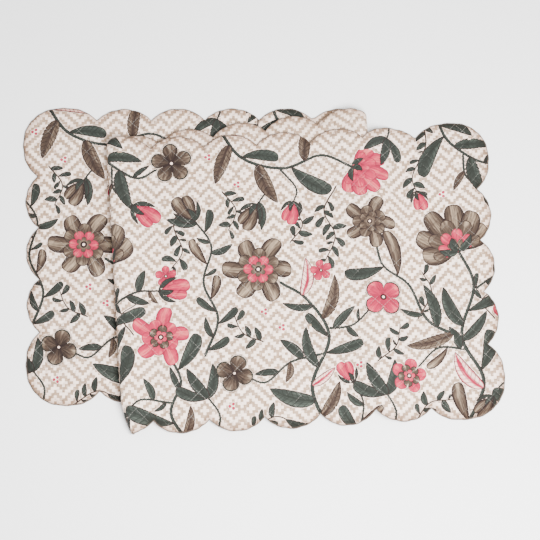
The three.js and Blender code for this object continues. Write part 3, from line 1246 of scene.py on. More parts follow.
@dataclass(frozen=True)
class Stem:
    """A stem through a few points, rounded into one smooth curve that thins towards its tip."""

    points: tuple[Place, ...]
    half_width: float
    thorny: bool = True
    brown: bool = False
    tip_share: float = 0.7
    steps: int = 10

    @property
    def room(self) -> float:
        """Half the room that it needs across."""
        return self.half_width

    def path(self) -> Array:
        """The curve as short steps: a spline that passes through each point, its direction there
        set by the neighbours on both sides.

        Returns:
            Points as rows.
        """
        p = np.array(self.points, dtype=float)
        p = np.vstack([2 * p[0] - p[1], p, 2 * p[-1] - p[-2]])
        t = np.linspace(0, 1, self.steps, endpoint=False)[:, None]
        spans = []
        for a, b, c, d in zip(p[:-3], p[1:-2], p[2:-1], p[3:]):
            bend = (2 * a - 5 * b + 4 * c - d) * t**2 + (3 * b - a - 3 * c + d) * t**3
            spans.append(b + ((c - a) * t + bend) / 2)
        return np.vstack([*spans, p[-2:-1]])

    @property
    def length(self) -> float:
        """Length of the curve."""
        return float(np.hypot(*np.diff(self.path(), axis=0).T).sum())

    def at(self, place: float) -> tuple[Place, float]:
        """Point and heading in degrees at a distance along the curve.

        Args:
            place: Distance from its start.

        Returns:
            The point and the heading.
        """
        path = self.path()
        run = np.concatenate([[0], np.cumsum(np.hypot(*np.diff(path, axis=0).T))])
        i = min(int(np.searchsorted(run, place, side="right")) - 1, len(path) - 2)
        step = path[i + 1] - path[i]
        point = path[i] + (place - run[i]) / (run[i + 1] - run[i]) * step
        return (float(point[0]), float(point[1])), math.degrees(math.atan2(step[1], step[0]))

    def local(self, u: Array, v: Array) -> tuple[Array, Array, Array]:
        """Signed distance from the curve, length along it and distance beyond its ends.

        Args:
            u: Places along the cloth.
            v: Places across it.

        Returns:
            Distances across, lengths along, distances beyond.
        """
        path = self.path()
        step = np.diff(path, axis=0)
        size = np.hypot(*step.T)
        unit = step / size[:, None]
        start = np.concatenate([[0], np.cumsum(size)[:-1]])
        du = u[..., None] - path[:-1, 0]
        dv = v[..., None] - path[:-1, 1]
        along = du * unit[:, 0] + dv * unit[:, 1]
        across = dv * unit[:, 0] - du * unit[:, 1]
        beyond = np.maximum(np.maximum(-along, along - size), 0)
        nearest = np.hypot(across, beyond).argmin(axis=-1)[..., None]
        run = start[nearest[..., 0]] + np.take_along_axis(along, nearest, axis=-1)[..., 0]
        aside = np.take_along_axis(across, nearest, axis=-1)[..., 0]
        return aside, run, np.maximum(-run, run - size.sum())

    def gap(self, u: Array, v: Array) -> Array:
        """Distance outside the stem."""
        across, _, beyond = self.local(u, v)
        return np.maximum(np.abs(across) - self.half_width, beyond)

    def numbers(self, u: Array, v: Array) -> Array:
        """Distance across, length along, half width there, and the kind: thorny, brown or both.

        Args:
            u: Places along the cloth.
            v: Places across it.

        Returns:
            The four numbers of each place.
        """
        across, run, beyond = self.local(u, v)
        thin = 1 - (1 - self.tip_share) * np.clip(run / self.length, 0, 1)
        width = np.minimum(self.half_width * thin, self.half_width - beyond)
        return four(across, run, width, self.thorny + Packed.BROWN * self.brown)

    def marks(self) -> Array:
        """Places along the curve."""
        return self.path()[::3]

    def moved(self, shift: float) -> "Stem":
        """The same stem further along the cloth."""
        return replace(self, points=tuple((x + shift, y) for x, y in self.points))


Motifs = list[Motif | Stem]


@dataclass(frozen=True)
class Foliage:
    """Leaves along a stem on alternate sides, each a little unlike the last."""

    spacing: float
    length: float
    width_share: float
    inks: tuple[Ink, ...]
    outlines: tuple[Outline, ...] = (Outline.POINTED, Outline.ROUNDED)
    angle: float = 46.0
    bare_start: float = 12.0
    bare_tip: float = 6.0

    def along(self, stem: Stem, dice: np.random.Generator) -> list[Leaf]:
        """The leaves of one stem.

        Args:
            stem: The stem.
            dice: Source of the leaves' small differences.

        Returns:
            Leaves from the stem's foot to its tip.
        """
        leaves = []
        place, side = self.bare_start, 1 if dice.random() < 0.5 else -1
        while place < stem.length - self.bare_tip:
            base, heading = stem.at(place)
            lean = side * self.angle * dice.uniform(0.8, 1.25)
            length = self.length * dice.uniform(0.8, 1.15)
            ink = self.inks[dice.integers(len(self.inks))]
            outline = self.outlines[dice.integers(len(self.outlines))]
            if ink == Ink.PINK:
                outline = Outline.POINTED
            half = length * self.width_share * dice.uniform(0.88, 1.12)
            bend = side * dice.uniform(0.02, 0.11)
            leaves.append(Leaf(base, heading + lean, length, half, bend, ink, outline, dice.random()))
            place += self.spacing * dice.uniform(0.85, 1.15)
            side = -side
        return leaves


MOSTLY_GREEN = (Ink.GREEN, Ink.GREEN, Ink.GREEN, Ink.TAUPE)
LARGE_LEAVES = Foliage(20.5, 53.0, 0.158, (*MOSTLY_GREEN, *MOSTLY_GREEN, Ink.PINK), tuple(Outline))
MEDIUM_LEAVES = Foliage(15.0, 33.0, 0.172, MOSTLY_GREEN, bare_start=7.0)
SMALL_LEAVES = Foliage(6.2, 16.0, 0.23, (Ink.GREEN,), angle=52.0, bare_start=4.0, bare_tip=0.0)


@dataclass(frozen=True)
class Twig:
    """A stem with its leaves and its head, whose parts are sized as shares of the head's size."""

    stem: Stem
    foliage: Foliage | None = None
    head: Head = Head.NONE
    size: float = 20.0
    petals: int = 5
    look: FlowerLook = FlowerLook(Ink.PINK)
    sunk: float = 2.5
    middle_way: float = 0.8
    full_tone_angle: float = 97.0
    full_bend_angle: float = 900.0
    calyx_bend: float = 0.12

    def blade(self, way: float, angle: float, length: float, half: float, bend: float,
              outline: Outline = Outline.ROUNDED, ink: Ink | None = None) -> Leaf:
        """A petal or a green leaf of the head.

        Args:
            way: How far past the stem's tip it starts.
            angle: Its angle from the stem's heading, in degrees.
            length: Its length as a share of the head's size.
            half: Its half width as such a share.
            bend: The bend of its midrib.
            outline: Its shape.
            ink: Its ink, the petals' own where none is given.

        Returns:
            The petal or leaf.
        """
        tip, heading = self.stem.at(self.stem.length)
        foot = gone_from(tip, heading, way, 0.0)
        inked = self.look.outer if ink is None else ink
        size, tone = self.size, abs(angle) / self.full_tone_angle
        return Leaf(foot, heading + angle, length * size, half * size, bend, inked, outline, tone)

    def green(self, angle: float, length: float, half: float, bend: float,
              outline: Outline = Outline.POINTED) -> Leaf:
        """A green leaf of the head, which starts a little before the tip."""
        return self.blade(-self.sunk, angle, length, half, bend, outline, Ink.GREEN)

    def calyx(self, *leaves: tuple[float, float, float]) -> Motifs:
        """Calyx leaves, each an angle, a length and a half width, bent away from the heading."""
        return [self.green(*leaf, math.copysign(self.calyx_bend, leaf[0])) for leaf in leaves]

    def flower(self, way: float, share: float) -> Flower:
        """An open flower.

        Args:
            way: How far past the stem's tip its middle lies.
            share: Its radius as a share of the head's size.

        Returns:
            The flower.
        """
        tip, heading = self.stem.at(self.stem.length)
        middle = gone_from(tip, heading, way, 0.0)
        return Flower(middle, heading, share * self.size, self.petals, self.look)

    def bell_petals(self, half: float, *petals: tuple[float, float]) -> Motifs:
        """Petals spread from the tip, each an angle and a length, bent further the more they lean."""
        bend = 1 / self.full_bend_angle
        return [self.blade(0.0, angle, length, half, angle * bend) for angle, length in petals]

    def head_motifs(self) -> dict[Layer, Motifs]:
        """The head at the tip.

        Returns:
            Its motifs by layer: petals behind, petals in front, the flower and the green calyx.
        """
        middle = self.middle_way * self.size
        if self.head == Head.FLOWER:
            return {Layer.FLOWERS: [self.flower(middle, 1.0)]}
        if self.head == Head.BLOSSOM:
            turns = [360 * (i + 0.5) / self.petals for i in range(self.petals)]
            lengths = [1.0 if i % 2 else 1.1 for i in range(self.petals)]
            ring = [self.blade(middle, turn, size, 0.27, 0.05) for turn, size in zip(turns, lengths)]
            return {
                Layer.PETALS_BEHIND: ring[::2],
                Layer.PETALS_FRONT: ring[1::2],
                Layer.FLOWERS: [self.flower(middle, 0.68)],
            }
        if self.head == Head.BELL:
            return {
                Layer.PETALS_BEHIND: self.bell_petals(0.27, (-74, 0.95), (-18, 1.22), (46, 1.12)),
                Layer.PETALS_FRONT: self.bell_petals(0.26, (-46, 1.1), (14, 1.26), (76, 0.92)),
                Layer.FLOWERS: [self.flower(0.0, 0.86)],
                Layer.CALYX: self.calyx((64, 0.5, 0.11), (-60, 0.55, 0.11), (3, 0.4, 0.12)),
            }
        if self.head == Head.BUD:
            return {
                Layer.PETALS_BEHIND: [self.blade(0.0, 8, 1.2, 0.29, 0.05)],
                Layer.PETALS_FRONT: [self.blade(0.0, -13, 1.08, 0.22, -0.06)],
                Layer.CALYX: self.calyx((33, 0.95, 0.11), (-37, 0.88, 0.11), (-3, 0.62, 0.13)),
            }
        if self.head == Head.FAN:
            return {
                Layer.PETALS_BEHIND: [self.green(40, 0.9, 0.16, 0.08, Outline.ROUNDED)],
                Layer.PETALS_FRONT: [self.green(-40, 0.94, 0.15, -0.08)],
                Layer.CALYX: [self.green(2, 1.0, 0.17, 0.05, Outline.TOOTHED)],
            }
        return {}


def twig(half_width: float, *points: Place, **parts: object) -> Twig:
    """A thorny green twig: its half width, the places it goes through, and its other parts."""
    return Twig(Stem(points, half_width), **parts)


def sprig(half_width: float, *points: Place, head: Head = Head.NONE, size: float = 20.0) -> Twig:
    """A thin brown twig with small leaves and at most a small pink head."""
    return Twig(Stem(points, half_width, thorny=False, brown=True), SMALL_LEAVES, head, size)


@dataclass(frozen=True)
class FloralPrint:
    """The flowers of one repeat, listed one by one, with leaves added along the stems where there
    is room, repeated along the cloth."""

    repeat: float = 420.0
    reach: float = 7.0
    search_margin: float = 12.0
    leaf_spacing: float = -1.0
    head_overlap: float = 5.0
    berry_spacing: float = 2.0
    thin_stem: float = 1.5
    leaf_sizes: tuple[float, ...] = (1.0, 0.82, 0.66, 0.52)
    nothing: tuple[float, ...] = (-9.0, 99.0, 0.01, 0.0)
    seed: int = 11

    def twigs(self) -> tuple[Twig, ...]:
        """The twigs of one repeat, listed one by one, the longest first.

        Returns:
            The twigs.
        """
        large = partial(twig, foliage=LARGE_LEAVES)
        medium = partial(twig, foliage=MEDIUM_LEAVES, head=Head.BUD)
        flower, blossom, bell, fan = Head.FLOWER, Head.BLOSSOM, Head.BELL, Head.FAN
        look, taupe, pink = FlowerLook, Ink.TAUPE, Ink.PINK
        return (
            large(2.5, (152, -195), (128, -136), (150, -76), (126, -30), (96, -8),
                  head=blossom, size=39, petals=6, look=look(taupe, pink)),
            large(2.5, (300, -195), (326, -140), (304, -84), (322, -24), (306, 22),
                  head=bell, size=46, petals=8, look=look(taupe, pink, half_seen=True)),
            large(2.2, (24, 195), (54, 150), (104, 134), (150, 148), (188, 128),
                  head=bell, size=33, petals=8, look=look(pink, pink, half_seen=True)),
            large(2.2, (408, -195), (386, -158), (398, -122), (386, -92),
                  head=blossom, size=33, look=look(pink, taupe)),
            large(2.1, (290, 195), (304, 158), (344, 128), (372, 138),
                  head=flower, size=25, look=look(taupe, fringed=True)),
            large(2.0, (305, -86), (266, -62), (246, -18), (216, 4), (208, 36),
                  head=blossom, size=30, look=look(taupe, taupe)),
            medium(1.8, (6, -92), (22, -48), (6, -4), (16, 40), (-4, 74), size=30, look=look(taupe)),
            medium(1.7, (141, -96), (104, -104), (76, -126), (56, -120),
                   head=flower, size=22, petals=4, look=look(taupe, fringed=True)),
            medium(1.6, (148, -66), (178, -64), (200, -46),
                   head=flower, size=23, petals=4, look=look(pink, fringed=True)),
            medium(1.6, (309, -100), (276, -96), (252, -116), head=flower, size=21, look=look(pink, taupe)),
            medium(1.6, (318, -32), (348, -14), (376, -12), size=29),
            medium(1.6, (72, 142), (84, 112), (70, 88), size=27, look=look(taupe)),
            twig(1.4, (98, 135), (118, 108), (114, 90), head=Head.BUD, size=23),
            medium(1.6, (320, 143), (322, 112), (346, 92), size=29),
            medium(1.5, (388, -146), (352, -142), (334, -160), size=24, look=look(taupe)),
            twig(1.6, (216, -195), (222, -170), (212, -148), head=fan, size=46),
            twig(1.6, (12, -195), (22, -164), (8, -140), head=fan, size=44),
            medium(1.4, (178, -195), (186, -158), (174, -130), size=22),
            twig(1.5, (228, 195), (232, 178), (228, 164), head=fan, size=37),
            sprig(1.1, (272, 195), (276, 156), (258, 118), (262, 96), head=Head.BUD),
            sprig(1.1, (406, 100), (392, 68), (402, 36), (388, 14), head=flower, size=13),
            sprig(1.1, (166, 108), (150, 78), (162, 46), (148, 14), head=flower, size=13),
            sprig(1.1, (254, -60), (272, -28), (262, -2)),
            sprig(1.0, (52, -184), (84, -166), (108, -176)),
            sprig(1.0, (244, -182), (262, -160), (288, -158)),
            sprig(1.0, (74, -78), (50, -66), (38, -36)),
            sprig(1.0, (344, -66), (330, -44), (346, -30)),
            sprig(1.0, (204, -110), (226, -92), (232, -66)),
            sprig(1.0, (108, 40), (124, 62), (112, 84)),
            sprig(1.0, (30, 108), (46, 84), (36, 58)),
        )

    def berries(self) -> list[Berries]:
        """Small clusters of berries, at listed places.

        Returns:
            The berries of one repeat.
        """
        places = (
            (176, 96), (52, 64), (280, -46), (356, 66), (48, 116), (358, -112), (238, -146),
            (184, -112), (286, 124), (10, 116), (138, 98), (352, -56), (132, 30), (186, 8),
            (96, -62), (36, -152), (292, 92), (414, -30), (120, -158), (232, 136), (212, 84),
            (196, -12), (342, 20), (76, -42), (402, 168), (14, 152), (330, -176), (84, 72),
        )
        return [Berries(place) for place in places]

    def layers(self, length: float) -> dict[Layer, Motifs]:
        """Shares every motif out over the layers. Leaves that touch a flower or another leaf are
        made smaller, and left out if that isn't enough.

        Args:
            length: The cloth's length.

        Returns:
            Motifs by layer.
        """
        dice = np.random.default_rng(self.seed)
        placed: dict[Layer, Motifs] = {layer: [] for layer in Layer}
        for grown in self.twigs():
            thin = grown.stem.half_width < self.thin_stem
            placed[Layer.STEMS_HIGH if thin else Layer.STEMS_LOW].append(grown.stem)
            for layer, motifs in grown.head_motifs().items():
                placed[layer].extend(motifs)
        heads = [*placed[Layer.FLOWERS], *placed[Layer.PETALS_BEHIND], *placed[Layer.PETALS_FRONT]]
        wanted = [leaf for t in self.twigs() if t.foliage for leaf in t.foliage.along(t.stem, dice)]
        leaves = self.fitted(wanted, heads)
        placed[Layer.LEAVES_HIGH], placed[Layer.LEAVES_LOW] = leaves[::2], leaves[1::2]
        solid = [*heads, *leaves, *placed[Layer.STEMS_LOW], *placed[Layer.STEMS_HIGH]]
        berries = [b for b in self.berries() if self.clear(b, solid, self.berry_spacing)]
        placed[Layer.BERRIES] = berries
        counts = len(leaves), len(wanted), len(berries)
        log.info("print: %d of %d leaves, %d berries in a repeat", *counts)
        shifts = np.arange(-1, math.ceil(length / self.repeat) + 1) * self.repeat
        return {
            layer: [motif.moved(float(shift)) for shift in shifts for motif in motifs]
            for layer, motifs in placed.items()
        }

    def fitted(self, wanted: list[Leaf], heads: Motifs) -> list[Leaf]:
        """Leaves at the largest size at which each stays clear of the heads and of those before it.

        Args:
            wanted: The leaves at full size.
            heads: The heads' motifs.

        Returns:
            Those that find room.
        """
        leaves: list[Leaf] = []
        for leaf in wanted:
            for size in self.leaf_sizes:
                tried = replace(leaf, length=leaf.length * size, half_width=leaf.half_width * size)
                off_heads = self.clear(tried, heads, -self.head_overlap)
                if off_heads and self.clear(tried, leaves, self.leaf_spacing):
                    leaves.append(tried)
                    break
        return leaves

    def clear(self, motif: Motif, others: Motifs, spacing: float) -> bool:
        """Whether a motif stays clear of the others, also across the repeat.

        Args:
            motif: The motif.
            others: The others.
            spacing: Least distance between them, below zero where they may overlap.

        Returns:
            Whether it is clear of them all.
        """
        marks = motif.marks()
        for other in others:
            gap = marks[:, None, :] - other.marks()[None, :, :]
            gap[..., 0] = (gap[..., 0] + self.repeat / 2) % self.repeat - self.repeat / 2
            if np.hypot(gap[..., 0], gap[..., 1]).min() < motif.room + other.room + spacing:
                return False
        return True

    def store(self, mesh: bpy.types.Mesh, corners: Array, length: float) -> None:
        """Stores four numbers for each layer at each face corner: those of the motif that lies
        nearest the face, worked out at the corner itself, so that they run straight across it.

        Args:
            mesh: The sheet's mesh, its right side's faces first.
            corners: Flat places of the right side's face corners.
            length: The cloth's length.
        """
        centre = corners.mean(axis=1)
        for layer, motifs in self.layers(length).items():
            values = np.tile(self.nothing, (len(mesh.loops), 1))
            numbers = values[: corners.shape[0] * 4].reshape(*corners.shape[:2], 4)
            best = np.full(len(corners), self.reach)
            for motif in motifs:
                marks = motif.marks()
                pad = motif.room + self.reach + self.search_margin
                low, high = marks.min(axis=0) - pad, marks.max(axis=0) + pad
                near = np.flatnonzero(np.all((centre > low) & (centre < high), axis=1))
                gap = motif.gap(centre[near, 0], centre[near, 1])
                closer = gap < best[near]
                own = near[closer]
                best[own] = gap[closer]
                numbers[own] = motif.numbers(corners[own, :, 0], corners[own, :, 1])
            stored = mesh.attributes.new(layer.value, "FLOAT_COLOR", "CORNER")
            stored.data.foreach_set("color", values.astype(np.float32).ravel())


InkRange = tuple[Colour, Colour, Colour]
Drawn = tuple[Num, bpy.types.NodeSocket]


@dataclass(frozen=True)
class Inks:
    """The print's inks, each from its dark over its light to its palest wash, and how they are
    drawn. Widths are millimetres, an edge's first number is where it starts and its second where
    it is full."""

    green: InkRange = (ink(33, 35, 31), ink(45, 49, 45), ink(76, 83, 75))
    taupe: InkRange = (ink(42, 33, 28), ink(77, 63, 53), ink(162, 141, 118))
    pink: InkRange = (ink(134, 29, 53), ink(173, 47, 71), ink(220, 112, 108))
    line: Colour = ink(35, 25, 24)
    wash: Colour = ink(246, 214, 198)
    soft: float = 0.16
    halo: float = 0.5
    halo_soft: float = 0.4
    wobble: float = 1.3
    wobble_scale: float = 0.35
    leaf_rim: tuple[float, float] = (1.6, 0.7)
    teeth: float = 11.0
    tooth_depth: float = 0.13
    side_veins: float = 9.0
    side_vein_slant: float = 1.2
    petal_streaks: float = 2.6
    flower_rim: tuple[float, float] = (1.7, 0.8)
    petal_seam: tuple[float, float] = (1.2, 0.4)
    petal_veins: float = 6.0
    inner_ring: float = 0.66
    heart: float = 0.36
    hair_length: float = 1.9
    hair_share: float = 0.4
    hairs: float = 5.0
    eye: tuple[float, float] = (0.17, 0.14)
    eye_light: tuple[float, float] = (0.075, 0.055)
    far: float = 999.0
    thorn_pitch: float = 4.6
    thorn_length: float = 1.9
    thorn_taper: float = 5.0
    stem_rim: tuple[float, float] = (0.65, 0.25)
    berry_spread: float = 1.55

    def by_number(self, graph: Graph, number: Num, light: Num) -> bpy.types.NodeSocket:
        """An ink from its dark at 0 over its light at 1 to its wash at 2.

        Args:
            graph: The material's graph.
            number: The ink's number.
            light: How light it is.

        Returns:
            The colour.
        """
        first = light.at_least(0.0).at_most(1.0)
        second = (light - 1).at_least(0.0).at_most(1.0)
        shades = [
            graph.mix(second, graph.mix(first, dark, plain), wash)
            for dark, plain, wash in (self.green, self.taupe, self.pink)
        ]
        coloured = graph.mix(number.reaches(Ink.TAUPE), shades[Ink.GREEN], shades[Ink.TAUPE])
        return graph.mix(number.reaches(Ink.PINK), coloured, shades[Ink.PINK])

    def leaf(self, graph: Graph, layer: Layer, wobble: Num) -> Drawn:
        """A layer of leaves and petals.

        The half width is a power of the share from the base times a power of the share from the
        tip; shallow teeth cut into it. A leaf is darkest along its rib, a petal at its rim, and a
        pink leaf pales to a wash between its rib and its rim.

        Args:
            graph: The material's graph.
            layer: The layer.
            wobble: Unevenness of the printed edge.

        Returns:
            Distance inside the edge, and the colour.
        """
        share, across, half, code = graph.four_numbers(layer)
        tone, whole = code.part(), code.floor()
        number, outline = whole % Packed.OUTLINE, (whole / Packed.OUTLINE).floor()
        inked, pink = number.reaches(Ink.TAUPE), number.reaches(Ink.PINK)
        petal, toothed = outline.reaches(Outline.ROUNDED), 1 - outline.reaches(Outline.POINTED)
        petal_like = petal * inked

        held = share.at_least(0.001).at_most(0.999)
        swell = (held ** (petal * 0.3 + 0.5)) * ((1 - held) ** (0.75 - petal * 0.4))
        width = swell * (2.32 - petal * 0.29) * half
        teeth = 1 - toothed * self.tooth_depth * (1 - (held * self.teeth).part())
        size = abs(across)
        inside = (width * teeth - size + wobble).at_most(share * 60).at_most((1 - share) * 60)
        edge = (size / (width + 0.05)).at_most(1.0)

        slant = (held * self.side_veins - size / half * self.side_vein_slant).part()
        side_vein = abs(slant - 0.5).rises(0.34, 0.48) * 0.85
        streak = (across / (width + 0.05) * self.petal_streaks).part()
        long_vein = abs(streak - 0.5).rises(0.26, 0.5) * (1.1 - held) * 1.1
        vein = side_vein + petal_like * (long_vein - side_vein)
        rib = (size / half * 4.2).rises(1.7, 0.1) * (1 - held * 0.55) * (1 - petal_like * 0.75)

        cloud = graph.noise(graph.vector(share * 3.0 + tone * 40, across * 0.6), 3.0) - 0.5
        leaf_light = edge ** 1.6 * 0.5 + (across > 0.0) * 0.3 + tone * 0.35 + 0.45
        petal_light = (1 - edge) * 1.5 + held * 0.7 + tone * 0.3 - 0.5
        light = leaf_light + petal_like * (petal_light - leaf_light) + cloud * 2.4
        between = (edge + cloud).rises(0.12, 0.4) * (edge + cloud * 0.5).rises(0.9, 0.62)
        washed = pink * (1 - petal_like) * between * 0.85
        colour = graph.mix(washed, self.by_number(graph, number, light), self.wash)
        dark = graph.mix(inked, self.green[0], graph.mix(pink, self.line, self.pink[0]))
        colour = graph.mix(vein.at_least(rib * 0.8).at_most(1.0), colour, dark)
        rim = (inside - petal_like * 0.4).rises(*self.leaf_rim) * 0.9
        return inside, graph.mix(rim, colour, graph.mix(pink * petal_like, self.line, self.pink[0]))

    def flower(self, graph: Graph, layer: Layer, wobble: Num) -> Drawn:
        """A layer of open flowers.

        Round the middle, the petals' edge is a constant share of the radius plus a power of the
        cosine across each petal. A second, smaller ring is turned by half a petal, a third, yet
        smaller, stands as the first. A flower seen from the side is cut across its foot, and its
        petals shorten towards the sides.

        Args:
            graph: The material's graph.
            layer: The layer.
            wobble: Unevenness of the printed edge.

        Returns:
            Distance inside the edge, and the colour.
        """
        x, y, radius, code = graph.four_numbers(layer)
        petals, style = code % Packed.LOOK, (code / Packed.LOOK).floor()
        outer_ink = style % Packed.INNER_INK
        inner_ink = (style / Packed.INNER_INK).floor() % len(Ink)
        two_rings = 1 - inner_ink.reaches(Ink.NONE)
        half_seen = (style / Packed.HALF_SEEN).floor() % 2
        fringed = style.reaches(Packed.FRINGED)
        way = (x.square() + y.square()).op("SQRT") / radius
        turn = y.op("ARCTAN2", x) / TURN
        shorter = 1 - half_seen * turn.square() * 4.0
        streak = graph.noise(graph.vector(turn * petals * 9.0, way * 2.2 + radius), 2.0) - 0.5

        def ring(offset: float, base: float, scale: float, uneven: float, start: float,
                 number: Num) -> tuple[Num, Num, bpy.types.NodeSocket]:
            """A ring of petals: light along each, dark at its foot, lined at its seams and rim.

            Args:
                offset: Share of a petal by which the ring is turned.
                base: Share of their reach that the petals keep at their seams.
                scale: The ring's radius as a share of the flower's.
                uneven: Share of the printed edge's unevenness.
                start: Share of the way out at which the petals start to lighten.
                number: The ink's number.

            Returns:
                The edge as a share of the flower's radius, the distance inside it and the colour.
            """
            off = (turn * petals + offset).part() - 0.5
            swell = (off * math.pi).op("COSINE").at_least(0.0) ** 0.42
            edge = (swell * (1 - base) + base) * shorter * scale
            inside = (edge - way) * radius + wobble * uneven
            seam = (0.5 - abs(off)) / petals * way * radius * TURN
            along = ((way / edge - start) / (1 - start)).at_least(0.0)
            light = (1 - abs(off) * 2) * 1.1 + along - 0.6 + streak * 2.5
            vein = abs((off * self.petal_veins).part() - 0.5).rises(0.28, 0.5)
            vein = vein * (1.1 - along).at_least(0.0) * 0.9
            pink = number.reaches(Ink.PINK)
            rim = seam.rises(*self.petal_seam).at_least(inside.rises(*self.flower_rim))
            lined = vein.at_least(rim * (0.95 - pink * 0.15)).at_most(1.0)
            line = graph.mix(pink, self.line, self.pink[0])
            return edge, inside, graph.mix(lined, self.by_number(graph, number, light), line)

        edge, outer, colour = ring(0.5, 0.4, 1.0, 1.0, 0.3, outer_ink)
        second_ink = inner_ink.at_most(Ink.PINK)
        _, inner, second = ring(0.0, 0.5, self.inner_ring, 0.5, 0.1, second_ink)
        colour = graph.mix(inner.rises(-0.1, 0.1) * two_rings, colour, second)
        heart = (edge * self.heart - way) * radius
        heart_ink = self.by_number(graph, 1 + outer_ink.reaches(Ink.PINK), 1.7 - way * 3.0 + streak)
        third = graph.mix(heart.rises(0.7, 0.2), heart_ink, self.line)
        colour = graph.mix(heart.rises(-0.1, 0.1) * two_rings, colour, third)
        full = 1 - half_seen
        colour = graph.mix(way.rises(*self.eye) * full, colour, self.line)
        colour = graph.mix(way.rises(*self.eye_light) * full, colour, self.wash)
        hair = ((turn * radius * self.hairs).part() < self.hair_share) * fringed * self.hair_length
        border = fringed * (outer.rises(1.9, 1.4) - outer.rises(0.25, 0.0))
        colour = graph.mix(border.at_least(0.0), colour, self.green[0])
        colour = graph.mix((outer < 0.0) * fringed, colour, self.line)
        foot = x + radius * 0.1 + full * self.far
        return (outer + hair).at_most(foot), colour

    def stem(self, graph: Graph, layer: Layer, wobble: Num) -> Drawn:
        """A layer of stems: a band about the curve, with thorns that rise at once and taper off
        along it, on alternate sides.

        Args:
            graph: The material's graph.
            layer: The layer.
            wobble: Unevenness of the printed edge.

        Returns:
            Distance inside the edge, and the colour.
        """
        across, run, half, code = graph.four_numbers(layer)
        brown = code.reaches(Packed.BROWN)
        thorny = code - brown * Packed.BROWN
        left = (across > 0.0) * 0.5
        step = (run / self.thorn_pitch + left).part()
        thorn = (1 - step * self.thorn_taper).at_least(0.0) * thorny * self.thorn_length
        inside = half + thorn + wobble * 0.5 - abs(across)
        cloud = graph.noise(graph.vector(run * 0.25, across * 0.6), 2.0)
        body = self.by_number(graph, brown, cloud * 1.5 + left - 0.4)
        return inside, graph.mix(inside.rises(*self.stem_rim) * 0.8, body, self.line)

    def berry(self, graph: Graph, layer: Layer, wobble: Num) -> Drawn:
        """A layer of berries: one disc seen three times round the middle, darker at its rim.

        Args:
            graph: The material's graph.
            layer: The layer.
            wobble: Unevenness of the printed edge.

        Returns:
            Distance inside the edge, and the colour.
        """
        x, y, radius, _ = graph.four_numbers(layer)
        way = (x.square() + y.square()).op("SQRT")
        turn = y.op("ARCTAN2", x) / TURN
        angle = ((turn * 3).part() - 0.5) * (TURN / 3)
        ahead = way * angle.op("COSINE") - radius * self.berry_spread
        aside = way * angle.op("SINE")
        inside = radius - (ahead.square() + aside.square()).op("SQRT") + wobble * 0.3
        return inside, graph.mix(inside.rises(0.1, 1.4) * 0.8, self.pink[0], self.pink[1])

    def printed(self, graph: Graph, place: tuple[Num, Num], ground: bpy.types.NodeSocket,
                cream: Colour) -> bpy.types.NodeSocket:
        """Lays the layers over the ground, which stays plain in a narrow halo round them.

        Args:
            graph: The material's graph.
            place: Place along the cloth and across it.
            ground: The ground's colour.
            cream: The halo's colour.

        Returns:
            The printed colour.
        """
        cloud = graph.noise(graph.vector(*place), 2.0, self.wobble_scale)
        wobble = (cloud - 0.5) * self.wobble
        drawers = {
            Layer.STEMS_LOW: self.stem, Layer.STEMS_HIGH: self.stem,
            Layer.FLOWERS: self.flower, Layer.BERRIES: self.berry,
        }
        order = [drawers.get(layer, self.leaf)(graph, layer, wobble) for layer in Layer]
        widest = order[0][0]
        for inside, _ in order[1:]:
            widest = widest.at_least(inside)
        halo = widest.rises(-self.halo - self.halo_soft, -self.halo + self.halo_soft)
        colour = graph.mix(halo, ground, cream)
        for inside, layer_colour in order:
            colour = graph.mix(inside.rises(-self.soft, self.soft), colour, layer_colour)
        return colour


